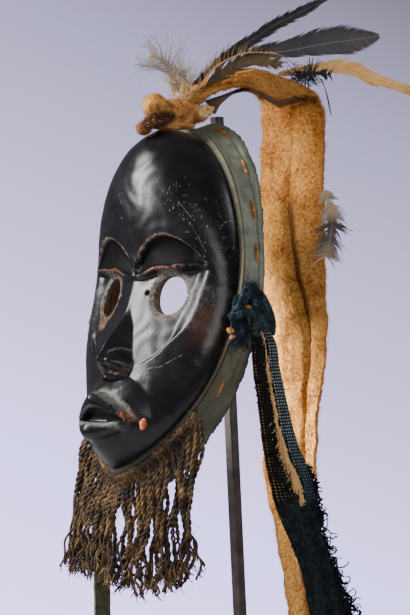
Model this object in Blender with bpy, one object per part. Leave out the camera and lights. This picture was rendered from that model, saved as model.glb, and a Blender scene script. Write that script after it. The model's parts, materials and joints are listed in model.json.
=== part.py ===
"""A carved Dan mask with its rim band, cord beard, head ties and feathers, on a museum stand."""
import math

import bmesh
import bpy
import numpy as np
from mathutils import Matrix, Vector

# Driving dimensions, in metres
FACE_HEIGHT = 0.2465
FACE_HALF_WIDTH = 0.071
FACE_LEAN = math.radians(16.0)
CHIN_POINT = (0.0, -0.073, 0.170)
BACK_AT_CHIN = 0.040
BACK_SLOPE = 0.058
WALL = 0.0095
EYE_CENTRE = (0.0308, 0.1215)
EYE_HALF_SIZE = (0.0123, 0.0142)
MOUTH_HALF_WIDTH = 0.025
MOUTH_HEIGHT = 0.0305
PEG_SIDE = 0.030
PEG_RADII = (0.0026, 0.0026, 0.0042)

BAND_OVERHANG = 0.003
BAND_THICKNESS = 0.0022
BAND_GAP = 0.0008
BAND_TOP_FLARE = 0.013

BEARD_REACH = 0.057
BEARD_THICKNESS = 0.008
BEARD_LENGTH = 0.086

STRAP_THICKNESS = 0.0024
FEATHER_THICKNESS = 0.0009
RIGHT_KNOT_REAR = 0.0165
VIEW_SIDE = Vector((0.73, -0.68, 0.0))

BASE_SIZE = (0.140, 0.166, 0.010)
BAR_WIDTH = 0.0075
BAR_FOOT_Y = 0.051
BAR_TOP = (0.0, 0.0248, 0.4215)
HOOK_HEIGHT = 0.376
HOOK_RADIUS = 0.0025

# Side curve of the border and the middle profile of the face: height above the chin, depth
BORDER_CURVE = (
    (0.0, 0.0), (0.025, 0.007), (0.055, 0.0125), (0.10, 0.0145),
    (0.155, 0.012), (0.194, 0.007), (0.220, 0.004), (FACE_HEIGHT, 0.0),
)
MIDDLE_PROFILE = (
    (0.0, -0.001), (0.010, -0.0145), (0.022, -0.0185), (0.045, -0.0165),
    (0.060, -0.0165), (0.078, -0.0180), (0.10, -0.0180), (0.125, -0.0185),
    (0.145, -0.0235), (0.165, -0.0330), (0.188, -0.0405), (0.208, -0.0420),
    (0.225, -0.0375), (0.236, -0.0290), (0.2425, -0.0195), (FACE_HEIGHT, -0.003),
)
CHEEK_EDGE = (
    (0.066, 0.0), (0.069, 0.016), (0.075, 0.028), (0.085, 0.038),
    (0.10, 0.0465), (0.125, 0.0525), (0.150, 0.057),
)
NOSE_RIDGE = (
    (0.056, -0.0250), (0.062, -0.0270), (0.0675, -0.0354),
    (0.075, -0.0340), (0.112, -0.0190), (0.125, -0.0180),
)
NOSE_HALF_WIDTH = (
    (0.056, 0.010), (0.064, 0.0145), (0.074, 0.0140), (0.085, 0.0110),
    (0.098, 0.0080), (0.110, 0.003), (0.120, 0.001),
)


def clear_scene():
    for obj in list(bpy.data.objects):
        bpy.data.objects.remove(obj, do_unlink=True)


def material(name, colour, roughness, metallic=0.0):
    made = bpy.data.materials.new(name)
    made.use_nodes = True
    shader = made.node_tree.nodes["Principled BSDF"]
    shader.inputs["Base Color"].default_value = (*colour, 1.0)
    shader.inputs["Roughness"].default_value = roughness
    shader.inputs["Metallic"].default_value = metallic
    return made


def add_object(name, bm, finish, smooth=True):
    mesh = bpy.data.meshes.new(name)
    bm.to_mesh(mesh)
    bm.free()
    if finish:
        mesh.materials.append(finish)
    if smooth:
        mesh.shade_smooth()
        mesh.set_sharp_from_angle(angle=math.radians(40))
    obj = bpy.data.objects.new(name, mesh)
    bpy.context.scene.collection.objects.link(obj)
    return obj


def add_cutter(name, bm):
    obj = add_object(name, bm, None, smooth=False)
    obj.hide_render = True
    obj.display_type = "WIRE"
    return obj


def combine(target, operand, operation):
    modifier = target.modifiers.new(operand.name, "BOOLEAN")
    modifier.object = operand
    modifier.operation = operation
    modifier.solver = "EXACT"


def smooth_step(low, high, value):
    t = np.clip((value - low) / (high - low), 0.0, 1.0)
    return t * t * (3.0 - 2.0 * t)


def curve_value(points, value):
    """Read a smooth curve through a few (position, value) pairs."""
    places = np.array([point[0] for point in points])
    levels = np.array([point[1:] for point in points], dtype=float)
    slopes = np.gradient(levels, places, axis=0)
    value = np.asarray(value, dtype=float)
    index = np.clip(np.searchsorted(places, value) - 1, 0, len(places) - 2)
    span = places[index + 1] - places[index]
    t = np.clip((value - places[index]) / span, 0.0, 1.0)[..., None]
    span = span[..., None]
    found = ((2 * t**3 - 3 * t**2 + 1) * levels[index] + (t**3 - 2 * t**2 + t) * span * slopes[index]
             + (3 * t**2 - 2 * t**3) * levels[index + 1] + (t**3 - t**2) * span * slopes[index + 1])
    return found[..., 0] if levels.shape[1] == 1 else found


def half_width(height):
    """Half the width of the face's egg-shaped outline at a height above the chin."""
    s = 2.0 * height / FACE_HEIGHT - 1.0
    power = 0.61 + 0.11 * smooth_step(0.5, -0.6, s)
    return FACE_HALF_WIDTH * np.clip(1.0 - s * s, 0.0, 1.0) ** power


def back_plane(z):
    """Depth of the flat back rim, which leans a little against the border."""
    return BACK_AT_CHIN - BACK_SLOPE * z


def dome(x, z):
    """The face without features: one rounded shell from the border to the middle profile."""
    border = curve_value(BORDER_CURVE, z)
    middle = curve_value(MIDDLE_PROFILE, z)
    u = np.clip(np.abs(x) / np.maximum(half_width(z), 1e-6), 0.0, 1.0)
    fullness = 0.56 - 0.06 * smooth_step(0.13, 0.18, z) + 0.05 * smooth_step(0.09, 0.04, z)
    return border + (middle - border) * (1.0 - u * u) ** fullness


def brow_line(side):
    t = np.clip((side - 0.002) / 0.056, 0.0, 1.0)
    return 0.1385 + 0.0195 * np.sin(np.pi * t**0.9) ** 0.74 + 0.0045 * t


def lid_line(side):
    return 0.133 + 0.0055 * smooth_step(0.004, 0.024, side) + 0.0045 * smooth_step(0.025, 0.058, side)


def add_brow(y, side, z):
    """Scoop out the crescent between the brow edge and the eyelid ridge."""
    brow = brow_line(side)
    lid = lid_line(side)
    opening = np.maximum(brow - lid, 1e-4)
    down = np.clip((brow - z) / opening, 0.0, 1.0)
    depth = 0.0048 * np.minimum(1.0, opening / 0.012)
    scoop = depth * np.sin(np.pi * down**0.42) ** 0.8
    inside = (side > 0.002) & (side < 0.058) & (z < brow) & (z > lid)
    return np.where(inside, y + scoop, y)


def add_cheek(y, side, z):
    """Cut the flat plane of eye and cheek, with the eyelid as a ridge along its top."""
    plane = -0.0188 + 0.19 * side + 2.3 * side**2 + 0.02 * (z - 0.112)
    lid = lid_line(side)
    below_lid = smooth_step(-0.0005, 0.0035, lid - z)
    within_edge = smooth_step(-0.002, 0.0035, curve_value(CHEEK_EDGE, z) - side)
    y = y + (plane - y) * below_lid * within_edge * (z > 0.066)
    ridge = 0.0016 * np.exp(-(((z - lid) / 0.0022) ** 2))
    return y - ridge * smooth_step(0.060, 0.050, side)


def add_muzzle_and_chin(y, side, z):
    around_mouth = np.sqrt((side / 0.034) ** 2 + ((z - 0.038) / 0.026) ** 2)
    around_chin = np.sqrt((side / 0.019) ** 2 + ((z - 0.014) / 0.014) ** 2)
    y = y - 0.009 * np.clip(1.0 - around_mouth**2, 0.0, 1.0)
    return y - 0.0068 * np.clip(1.0 - around_chin, 0.0, 1.0)


def add_nose(y, side, z):
    """A straight wedge with a sharp ridge, and a small round wing on each side."""
    ridge = curve_value(NOSE_RIDGE, z)
    width = curve_value(NOSE_HALF_WIDTH, z)
    wedge = y + (ridge - y) * np.clip(1.0 - side / width, 0.0, 1.0)
    y = np.where((z < 0.120) & (z > 0.058), np.minimum(wedge, y), y)
    around_wing = np.sqrt(((side - 0.0098) / 0.0058) ** 2 + ((z - 0.069) / 0.007) ** 2)
    return y - 0.0035 * np.sqrt(np.clip(1.0 - around_wing**2, 0.0, 1.0))


def add_mouth(y, side, z):
    """Two pushed-out lips that meet at the corners, with a deep slot between them."""
    t = np.clip(side / MOUTH_HALF_WIDTH, 0.0, 1.0)
    rise = 1.0 - t**1.25
    upper_line = MOUTH_HEIGHT + 0.0105 - 0.011 * t**1.6
    lower_line = MOUTH_HEIGHT - 0.0105 + 0.010 * t**1.9
    upper_roll = 0.0064 * np.sqrt(rise) + 0.0006
    lower_roll = 0.0062 * np.sqrt(rise) + 0.0006
    inside = side < MOUTH_HALF_WIDTH
    lips = (
        (upper_line, upper_roll, -0.0200 - 0.0155 * rise),
        (lower_line, lower_roll, -0.0190 - 0.0145 * rise),
    )
    for line, roll, front in lips:
        bulge = np.sqrt(np.clip(1.0 - ((z - line) / roll) ** 2, 0.0, 1.0))
        y = np.where(inside, np.minimum(y, y + (np.minimum(front, y) - y) * bulge), y)
    slot_top = upper_line - upper_roll
    slot_bottom = lower_line + lower_roll
    half_slot = np.maximum((slot_top - slot_bottom) / 2 + 0.0016, 1e-4)
    slot = np.sqrt(np.clip(1.0 - ((z - (slot_top + slot_bottom) / 2) / half_slot) ** 2, 0.0, 1.0))
    return np.where(inside, y + 0.012 * slot * rise, y)


def face_depth(x, z):
    side = np.abs(x)
    y = dome(x, z)
    for feature in (add_brow, add_cheek, add_muzzle_and_chin, add_nose, add_mouth):
        y = feature(y, side, z)
    return y


def face_block(depth, columns, rows, shrink, behind):
    """A grid bent to the face's outline and depth, closed by a flat back."""
    bm = bmesh.new()
    bmesh.ops.create_grid(bm, x_segments=columns, y_segments=rows, size=1.0)
    for vert in bm.verts:
        a, b = vert.co.x, vert.co.y
        even = (b + 1.0) / 2.0
        z = FACE_HEIGHT * (0.5 * even + 0.25 * (1.0 - math.cos(math.pi * even)))
        x = half_width(z) * (0.4 * a + 0.6 * math.sin(math.pi * a / 2.0))
        middle = FACE_HEIGHT / 2.0
        narrower = 1.0 - shrink / FACE_HALF_WIDTH
        lower = 1.0 - shrink / middle
        vert.co = (x * narrower, depth(x, z), middle + (z - middle) * lower)
    bmesh.ops.remove_doubles(bm, verts=bm.verts, dist=1e-5)
    rim = [edge for edge in bm.edges if edge.is_boundary]
    walls = bmesh.ops.extrude_edge_only(bm, edges=rim)["geom"]
    for vert in [item for item in walls if isinstance(item, bmesh.types.BMVert)]:
        vert.co.y = back_plane(vert.co.z) + behind
    bmesh.ops.holes_fill(bm, edges=[edge for edge in bm.edges if edge.is_boundary], sides=0)
    bmesh.ops.recalc_face_normals(bm, faces=bm.faces)
    return bm


def make_face(frame, finish):
    face = add_object("face", face_block(face_depth, 36, 50, 0.0, 0.0), finish)
    hollow_block = face_block(lambda x, z: dome(x, z) + WALL, 14, 18, WALL, 0.02)
    hollow = add_cutter("hollow_cutter", hollow_block)
    face.parent = frame
    hollow.parent = frame
    combine(face, hollow, "DIFFERENCE")
    for side in (-1, 1):
        bm = bmesh.new()
        bmesh.ops.create_cone(bm, cap_ends=True, segments=20, radius1=1.0, radius2=1.0, depth=0.1)
        bmesh.ops.scale(bm, vec=(EYE_HALF_SIZE[0], EYE_HALF_SIZE[1], 1.0), verts=bm.verts)
        bmesh.ops.rotate(bm, matrix=Matrix.Rotation(math.pi / 2, 3, "X"), verts=bm.verts)
        bmesh.ops.translate(bm, vec=(side * EYE_CENTRE[0], 0.0, EYE_CENTRE[1]), verts=bm.verts)
        eye = add_cutter("eye_cutter_left" if side > 0 else "eye_cutter_right", bm)
        eye.parent = frame
        combine(face, eye, "DIFFERENCE")


def border_point(angle, out, back):
    """A point beside the border, from the chin at 0 over the top at pi and round again."""
    z = FACE_HEIGHT * (1.0 - math.cos(angle)) / 2.0
    side = 1.0 if angle <= math.pi else -1.0
    step = 0.02
    ahead = FACE_HEIGHT * (1.0 - math.cos(angle + step)) / 2.0
    behind = FACE_HEIGHT * (1.0 - math.cos(angle - step)) / 2.0
    ahead_x = float(half_width(ahead)) * (1.0 if angle + step <= math.pi else -1.0)
    behind_x = float(half_width(behind)) * (1.0 if 0.0 <= angle - step <= math.pi else -1.0)
    if angle + step > 2.0 * math.pi:
        ahead_x = float(half_width(ahead))
    normal = Vector((ahead - behind, 0.0, behind_x - ahead_x)).normalized()
    place = Vector((side * float(half_width(z)), float(curve_value(BORDER_CURVE, z)), z))
    return place + normal * out + Vector((0.0, back, 0.0))


def make_band(frame, finish):
    """The hide band that is stitched round the rim, wider and flared over the forehead."""
    bm = bmesh.new()
    bmesh.ops.create_grid(bm, x_segments=60, y_segments=2, size=1.0)
    for vert in bm.verts:
        angle = math.pi * (vert.co.x + 1.0)
        across = (vert.co.y + 1.0) / 2.0
        start = border_point(angle, 0.0, 0.0)
        top = float(smooth_step(0.17, 0.25, start.z))
        depth = back_plane(start.z) - start.y + BAND_OVERHANG * (1.0 - 2.2 * top)
        out = BAND_GAP + across * (0.001 + BAND_TOP_FLARE * top)
        vert.co = border_point(angle, out, 0.0004 + across * depth)
    bmesh.ops.remove_doubles(bm, verts=bm.verts, dist=0.0002)
    bmesh.ops.recalc_face_normals(bm, faces=bm.faces)
    centre = Vector((0.0, 0.0, FACE_HEIGHT / 2))
    if sum(face.normal.dot(face.calc_center_median() - centre) for face in bm.faces) < 0.0:
        bmesh.ops.reverse_faces(bm, faces=bm.faces)
    band = add_object("rim_band", bm, finish)
    band.parent = frame
    thicken(band, BAND_THICKNESS, 1.0)


def thicken(obj, thickness, offset):
    modifier = obj.modifiers.new("thickness", "SOLIDIFY")
    modifier.thickness = thickness
    modifier.offset = offset
    modifier.use_even_offset = True


def lump(centre, radii, detail=2):
    bm = bmesh.new()
    bmesh.ops.create_icosphere(bm, subdivisions=detail, radius=1.0)
    bmesh.ops.scale(bm, vec=radii, verts=bm.verts)
    bmesh.ops.translate(bm, vec=centre, verts=bm.verts)
    return bm


def make_lumps(name, lumps, finish):
    """A knot: round lumps of hide or cloth joined into one body."""
    knot = add_object(name, lump(*lumps[0]), finish)
    for number, place in enumerate(lumps[1:], start=1):
        combine(knot, add_cutter(f"{name}_lump_{number}", lump(*place)), "UNION")
    return knot


def make_peg(frame, finish):
    """The small bead that sits on the wood at the left mouth corner."""
    x, z, step = PEG_SIDE, MOUTH_HEIGHT, 0.001
    surface = float(face_depth(x, z))
    slope_x = (float(face_depth(x + step, z)) - surface) / step
    slope_z = (float(face_depth(x, z + step)) - surface) / step
    normal = Vector((slope_x, -1.0, slope_z)).normalized()
    centre = Vector((x, surface, z)) + normal * (PEG_RADII[0] + 0.0006)
    peg = add_object("mouth_peg", lump(centre, PEG_RADII), finish)
    peg.parent = frame


def make_beard(finish):
    """The cord beard as one hanging body, fluted into locks, along the jaw from ear to ear."""
    turn = Matrix.Rotation(-FACE_LEAN, 4, "X")
    turn.translation = Vector(CHIN_POINT)
    bm = bmesh.new()
    bmesh.ops.create_grid(bm, x_segments=56, y_segments=4, size=1.0)
    reach = math.acos(1.0 - 2.0 * BEARD_REACH / FACE_HEIGHT)
    outward = {}
    for vert in bm.verts:
        along, down = vert.co.x, (1.0 - vert.co.y) / 2.0
        angle = abs(along) * reach if along >= 0 else 2.0 * math.pi - abs(along) * reach
        top = turn @ border_point(angle, BAND_GAP + BAND_THICKNESS + 0.0032, 0.007)
        away = Vector((top.x, 0.6 * (top.y + 0.02), 0.0)).normalized()
        lock = 0.5 + 0.5 * math.cos(along * math.pi * 14.0)
        uneven = math.sin(along * 9.0) * 0.004 + math.sin(along * 23.0) * 0.003
        length = BEARD_LENGTH * (1.0 + 0.10 * abs(along)) + uneven + 0.007 * lock
        splay = 0.010 * down * (1.0 + 0.6 * max(0.0, -along))
        vert.co = top + away * splay + Vector((0.0, 0.0, -length * down))
        fullness = (0.45 + 0.55 * lock) * (0.45 + 0.75 * math.sin(math.pi * (0.12 + 0.68 * down)))
        outward[vert.co.to_tuple(6)] = away * (BEARD_THICKNESS * fullness)
    extruded = bmesh.ops.extrude_face_region(bm, geom=bm.faces[:], use_keep_orig=True)["geom"]
    for item in extruded:
        if isinstance(item, bmesh.types.BMVert):
            item.co += outward[item.co.to_tuple(6)]
    bmesh.ops.recalc_face_normals(bm, faces=bm.faces)
    add_object("beard", bm, finish)


def ribbon(name, stations, rows, columns, thickness, finish):
    """A strap through stations of (place, far edge, middle, near edge)."""
    flat = [(s[0], *s[1], *s[2], *s[3]) for s in stations]
    bm = bmesh.new()
    bmesh.ops.create_grid(bm, x_segments=columns, y_segments=rows, size=1.0)
    for vert in bm.verts:
        across, along = vert.co.x, (vert.co.y + 1.0) / 2.0
        read = curve_value(flat, along * flat[-1][0])
        far, middle, near = Vector(read[0:3]), Vector(read[3:6]), Vector(read[6:9])
        edge = near if across > 0 else far
        vert.co = middle.lerp(edge, abs(across))
    bmesh.ops.recalc_face_normals(bm, faces=bm.faces)
    strap = add_object(name, bm, finish)
    thicken(strap, thickness, 0.0)
    return strap


def make_tan_strap(finish):
    """The coarse woven strap: from the top knot over the arched plate, then straight down."""
    over_plate = (
        (0.000, (-0.008, -0.006, 0.429), (0.002, -0.008, 0.431), (0.011, -0.012, 0.426)),
        (0.025, (-0.020, 0.012, 0.441), (0.004, 0.008, 0.4405), (0.018, -0.004, 0.432)),
        (0.055, (-0.028, 0.036, 0.450), (0.004, 0.034, 0.4525), (0.0225, 0.018, 0.440)),
        (0.085, (-0.032, 0.060, 0.4535), (0.004, 0.058, 0.458), (0.0245, 0.042, 0.4405)),
        (0.110, (-0.033, 0.080, 0.4525), (0.004, 0.079, 0.457), (0.0250, 0.064, 0.436)),
        (0.135, (-0.034, 0.096, 0.4485), (0.005, 0.102, 0.4515), (0.0245, 0.086, 0.441)),
        (0.152, (-0.034, 0.103, 0.4430), (0.003, 0.110, 0.4450), (0.0235, 0.104, 0.4415)),
    )
    hanging = (
        (0.165, (-0.034, 0.1045, 0.430), (-0.003, 0.1115, 0.4330), (0.0230, 0.1115, 0.4330)),
        (0.200, (-0.034, 0.1035, 0.395), (-0.003, 0.1095, 0.395), (0.0235, 0.1115, 0.395)),
        (0.275, (-0.034, 0.1035, 0.320), (-0.002, 0.1060, 0.320), (0.0255, 0.1110, 0.320)),
        (0.339, (-0.033, 0.1030, 0.256), (-0.001, 0.1060, 0.256), (0.0260, 0.1130, 0.256)),
        (0.392, (-0.030, 0.1005, 0.203), (-0.003, 0.1090, 0.203), (0.0210, 0.1075, 0.203)),
        (0.434, (-0.024, 0.0960, 0.161), (0.000, 0.1070, 0.161), (0.0190, 0.1076, 0.161)),
        (0.480, (-0.014, 0.0990, 0.115), (0.004, 0.1090, 0.115), (0.0190, 0.1080, 0.115)),
        (0.509, (-0.011, 0.1030, 0.086), (0.006, 0.1120, 0.086), (0.0170, 0.1090, 0.086)),
        (0.545, (-0.008, 0.1080, 0.050), (0.008, 0.1150, 0.050), (0.0190, 0.1120, 0.050)),
    )
    ribbon("tan_strap", over_plate + hanging, 36, 4, STRAP_THICKNESS, finish)


def side_stations(rows):
    """Turn (height, side, forward edge, rear edge) into strap stations in a near-upright plane."""
    top = rows[0][0]
    found = []
    for height, side, forward, rear in rows:
        middle = (side + 0.0015, (forward + rear) / 2, height)
        found.append((top - height, (side, forward, height), middle, (side - 0.002, rear, height)))
    return found


def make_side_straps(indigo, green):
    left = (
        (0.2570, 0.0830, -0.0215, 0.0015), (0.240, 0.0810, -0.0185, 0.0075), (0.220, 0.0785, -0.0120, 0.016),
        (0.185, 0.0760, -0.0035, 0.031), (0.160, 0.0745, 0.0045, 0.047), (0.126, 0.0730, 0.0215, 0.0565),
        (0.098, 0.0715, 0.038, 0.071), (0.062, 0.0700, 0.048, 0.087), (0.045, 0.0695, 0.054, 0.092),
    )
    ribbon("ear_strap_left", side_stations(left), 18, 2, STRAP_THICKNESS, indigo)
    right = (
        (0.2570, -0.0830, -0.0140, 0.0025), (0.200, -0.0805, -0.020, -0.004),
        (0.120, -0.0790, -0.024, -0.0085), (0.045, -0.0780, -0.0235, -0.0085),
    )
    ribbon("ear_strap_right", side_stations(right), 10, 2, STRAP_THICKNESS, green)


def make_knots(hide, indigo, green):
    make_lumps("top_knot", (
        ((0.000, -0.0175, 0.4195), (0.011, 0.0125, 0.0095)),
        ((0.001, -0.0345, 0.4235), (0.0085, 0.0085, 0.0080)),
        ((0.001, -0.0265, 0.4138), (0.0075, 0.0200, 0.0045)),
        ((0.000, -0.0465, 0.4098), (0.0050, 0.0060, 0.0046)),
        ((0.002, 0.0030, 0.4190), (0.0100, 0.0120, 0.0045)),
    ), hide)
    for name, side, rear, finish in (
        ("ear_knot_left", 1, 0.0, indigo), ("ear_knot_right", -1, RIGHT_KNOT_REAR, green),
    ):
        make_lumps(name, (
            ((side * 0.0845, rear - 0.0230, 0.2810), (0.0085, 0.0160, 0.0130)),
            ((side * 0.0835, rear - 0.0160, 0.2680), (0.0075, 0.0110, 0.0100)),
            ((side * 0.0840, rear - 0.0300, 0.2680), (0.0070, 0.0090, 0.0100)),
        ), finish)


def feather(name, path, widths, finish):
    """A thin closed blade along a path, its flat side towards the open side of the mask."""
    bm = bmesh.new()
    bmesh.ops.create_grid(bm, x_segments=2, y_segments=6, size=1.0)
    places = [(i / (len(path) - 1), *point) for i, point in enumerate(path)]
    spreads = [(i / (len(widths) - 1), width) for i, width in enumerate(widths)]
    for vert in bm.verts:
        across, along = vert.co.x, (vert.co.y + 1.0) / 2.0
        here = Vector(curve_value(places, along))
        ahead = Vector(curve_value(places, min(along + 0.02, 1.0)))
        behind = Vector(curve_value(places, max(along - 0.02, 0.0)))
        sideways = VIEW_SIDE.cross(ahead - behind).normalized()
        vert.co = here + sideways * across * float(curve_value(spreads, along)) / 2.0
    bmesh.ops.recalc_face_normals(bm, faces=bm.faces)
    blade = add_object(name, bm, finish)
    thicken(blade, FEATHER_THICKNESS, 0.0)


def make_feathers(dark, grey, tan, brown, pale):
    feather("feather_long", (
        (-0.004, 0.004, 0.4430), (-0.006, 0.041, 0.4690), (-0.006, 0.066, 0.4830),
        (-0.006, 0.091, 0.4975), (-0.006, 0.124, 0.5130), (-0.006, 0.158, 0.5300),
    ), (0.003, 0.010, 0.013, 0.011, 0.008, 0.003), dark)
    feather("feather_broad", (
        (0.000, 0.032, 0.4550), (0.000, 0.066, 0.4705), (0.000, 0.100, 0.4780),
        (0.000, 0.132, 0.4860), (0.000, 0.165, 0.4930), (0.000, 0.198, 0.5000),
    ), (0.003, 0.011, 0.017, 0.024, 0.024, 0.008), grey)
    feather("feather_tan", (
        (0.006, 0.085, 0.4605), (0.006, 0.145, 0.4695), (0.006, 0.183, 0.4655), (0.006, 0.253, 0.4570),
    ), (0.003, 0.011, 0.009, 0.006), tan)
    feather("feather_barred", (
        (0.013, -0.006, 0.4375), (0.015, 0.010, 0.4550), (0.015, 0.034, 0.4665),
        (0.015, 0.054, 0.4700), (0.015, 0.075, 0.4700), (0.015, 0.093, 0.4640),
    ), (0.004, 0.008, 0.008, 0.006, 0.003, 0.002), pale)
    feather("feather_soft", (
        (0.011, 0.004, 0.4410), (0.011, 0.020, 0.4510), (0.011, 0.048, 0.4625), (0.011, 0.079, 0.4640),
    ), (0.003, 0.007, 0.008, 0.003), brown)
    feather("feather_plume", (
        (-0.004, -0.014, 0.4335), (-0.004, -0.013, 0.4460),
        (-0.004, -0.021, 0.4560), (-0.004, -0.036, 0.4600),
    ), (0.006, 0.020, 0.030, 0.016), brown)
    feather("feather_tuft", (
        (0.010, 0.098, 0.4560), (0.015, 0.109, 0.4600), (0.020, 0.123, 0.4600),
    ), (0.004, 0.009, 0.003), dark)
    feather("feather_edge", (
        (0.0280, 0.1130, 0.372), (0.0340, 0.1190, 0.348), (0.0285, 0.1130, 0.322),
    ), (0.003, 0.012, 0.004), pale)


def make_plate(finish):
    """The bent steel plate on the bar's top, which carries the strap's arch."""
    stations = (
        (0.000, (-0.003, 0.0250, 0.4240), (0.004, 0.0140, 0.4270), (0.010, 0.0040, 0.4300)),
        (0.022, (-0.012, 0.0410, 0.4350), (0.003, 0.0330, 0.4385), (0.015, 0.0230, 0.4365)),
        (0.042, (-0.012, 0.0570, 0.4445), (0.003, 0.0550, 0.4460), (0.0155, 0.0460, 0.4420)),
        (0.062, (-0.012, 0.0770, 0.4450), (0.003, 0.0770, 0.4460), (0.0155, 0.0720, 0.4415)),
        (0.078, (-0.012, 0.0880, 0.4410), (0.003, 0.0900, 0.4420), (0.0155, 0.0890, 0.4405)),
        (0.090, (-0.0115, 0.1000, 0.4370), (0.003, 0.1005, 0.4385), (0.0155, 0.1010, 0.4395)),
    )
    ribbon("strap_plate", stations, 12, 2, 0.0016, finish)


def box(low, high, bevel):
    bm = bmesh.new()
    bmesh.ops.create_cube(bm, size=1.0)
    size = [h - l for l, h in zip(low, high)]
    bmesh.ops.scale(bm, vec=size, verts=bm.verts)
    bmesh.ops.translate(bm, vec=[(l + h) / 2 for l, h in zip(low, high)], verts=bm.verts)
    bmesh.ops.bevel(bm, geom=bm.edges[:], offset=bevel, segments=1, profile=0.5, affect="EDGES", material=-1)
    return bm


def make_stand(finish):
    """A square bar on a steel foot plate, with a bent arm that carries the mask from inside."""
    half_x, half_y, thick = BASE_SIZE[0] / 2, BASE_SIZE[1] / 2, BASE_SIZE[2]
    foot = box((-half_x, -half_y, 0.0), (half_x, half_y, thick), 0.001)
    add_object("stand_base", foot, finish, smooth=False)
    start = Vector((0.0, BAR_FOOT_Y, thick + 0.0003))
    end = Vector(BAR_TOP)
    length = (end - start).length
    half = BAR_WIDTH / 2
    bm = box((-half, -half, 0.0), (half, half, length), 0.0006)
    direction = (end - start).normalized()
    turn = Vector((0, 0, 1)).rotation_difference(direction).to_matrix()
    bmesh.ops.rotate(bm, matrix=turn, verts=bm.verts)
    bmesh.ops.translate(bm, vec=start, verts=bm.verts)
    for vert in bm.verts:
        vert.co.z = max(vert.co.z, thick + 0.0003)
    add_object("stand_bar", bm, finish, smooth=False)
    hook = bpy.data.curves.new("stand_hook", "CURVE")
    hook.dimensions = "3D"
    hook.bevel_depth = HOOK_RADIUS
    hook.bevel_resolution = 2
    hook.use_fill_caps = True
    bar_front = 0.0276 - half - 0.0004
    route = [(bar_front, 0.0), (0.010, 0.0), (0.004, 0.0015), (0.0015, 0.006), (0.0015, 0.0155)]
    spline = hook.splines.new("POLY")
    spline.points.add(len(route) - 1)
    for point, (y, rise) in zip(spline.points, route):
        point.co = (0.0, y, HOOK_HEIGHT + rise, 1.0)
    hook.materials.append(finish)
    bpy.context.scene.collection.objects.link(bpy.data.objects.new("stand_hook", hook))


def build():
    clear_scene()
    frame = bpy.data.objects.new("mask_frame", None)
    bpy.context.scene.collection.objects.link(frame)
    frame.location = CHIN_POINT
    frame.rotation_euler = (-FACE_LEAN, 0.0, 0.0)
    bpy.context.view_layer.update()

    wood = material("black_wood", (0.012, 0.011, 0.013), 0.28)
    green_hide = material("green_hide", (0.10, 0.11, 0.08), 0.8)
    cord = material("brown_cord", (0.10, 0.055, 0.025), 0.9)
    tan_hide = material("tan_hide", (0.35, 0.17, 0.06), 0.85)
    tan_cloth = material("tan_cloth", (0.40, 0.21, 0.08), 0.9)
    indigo = material("indigo_cloth", (0.015, 0.018, 0.022), 0.9)
    steel = material("black_steel", (0.03, 0.028, 0.027), 0.45, 0.8)
    dark = material("dark_feather", (0.03, 0.03, 0.035), 0.5)
    grey = material("grey_feather", (0.07, 0.065, 0.07), 0.5)
    pale = material("pale_feather", (0.35, 0.27, 0.16), 0.7)
    brown = material("brown_feather", (0.16, 0.12, 0.08), 0.7)
    peg = material("red_bead", (0.35, 0.08, 0.03), 0.5)

    make_face(frame, wood)
    make_band(frame, green_hide)
    make_peg(frame, peg)
    make_beard(cord)
    make_knots(tan_hide, indigo, green_hide)
    make_tan_strap(tan_cloth)
    make_side_straps(indigo, green_hide)
    make_feathers(dark, grey, tan_cloth, brown, pale)
    make_plate(steel)
    make_stand(steel)


build()
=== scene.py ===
"""A carved Dan mask with its cord beard, ties and feathers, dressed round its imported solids."""
import json
import math
import random

import bmesh
import bpy
import numpy as np
from mathutils import Matrix, Vector
from mathutils import noise as field

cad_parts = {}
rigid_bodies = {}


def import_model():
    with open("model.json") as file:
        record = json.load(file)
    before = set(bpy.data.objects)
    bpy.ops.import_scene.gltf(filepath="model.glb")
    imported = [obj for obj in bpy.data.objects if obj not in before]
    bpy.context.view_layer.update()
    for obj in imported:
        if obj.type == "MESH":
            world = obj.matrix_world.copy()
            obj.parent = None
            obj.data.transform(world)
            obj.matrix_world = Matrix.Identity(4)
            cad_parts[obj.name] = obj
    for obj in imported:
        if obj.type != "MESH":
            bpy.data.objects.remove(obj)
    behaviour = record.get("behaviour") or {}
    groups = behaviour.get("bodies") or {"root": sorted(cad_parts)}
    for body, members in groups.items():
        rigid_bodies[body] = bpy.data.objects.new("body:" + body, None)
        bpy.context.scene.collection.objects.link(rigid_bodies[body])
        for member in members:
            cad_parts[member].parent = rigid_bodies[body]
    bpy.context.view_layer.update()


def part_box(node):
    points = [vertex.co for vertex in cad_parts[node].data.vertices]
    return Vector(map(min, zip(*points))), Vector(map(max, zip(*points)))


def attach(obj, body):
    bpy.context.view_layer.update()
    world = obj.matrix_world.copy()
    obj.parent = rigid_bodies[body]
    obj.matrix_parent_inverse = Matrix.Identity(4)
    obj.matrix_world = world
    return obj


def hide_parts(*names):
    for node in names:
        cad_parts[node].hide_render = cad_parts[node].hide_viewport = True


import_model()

# The view from the mask's left front, a little below the middle of the mask,
# with a long lens, as the mask was pictured.
camera = bpy.data.cameras.new("camera")
camera.lens = 122.22
camera.sensor_width = 36.0
camera.clip_end = 30.0
camera_holder = bpy.data.objects.new("camera", camera)
bpy.context.scene.collection.objects.link(camera_holder)
camera_place = Vector((1.09636, -1.00934, 0.23081))
camera_aim = Vector((0.0, 0.01303, 0.28316))
camera_holder.location = camera_place
camera_holder.rotation_euler = (camera_aim - camera_place).to_track_quat("-Z", "Y").to_euler()
bpy.context.scene.camera = camera_holder


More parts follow.
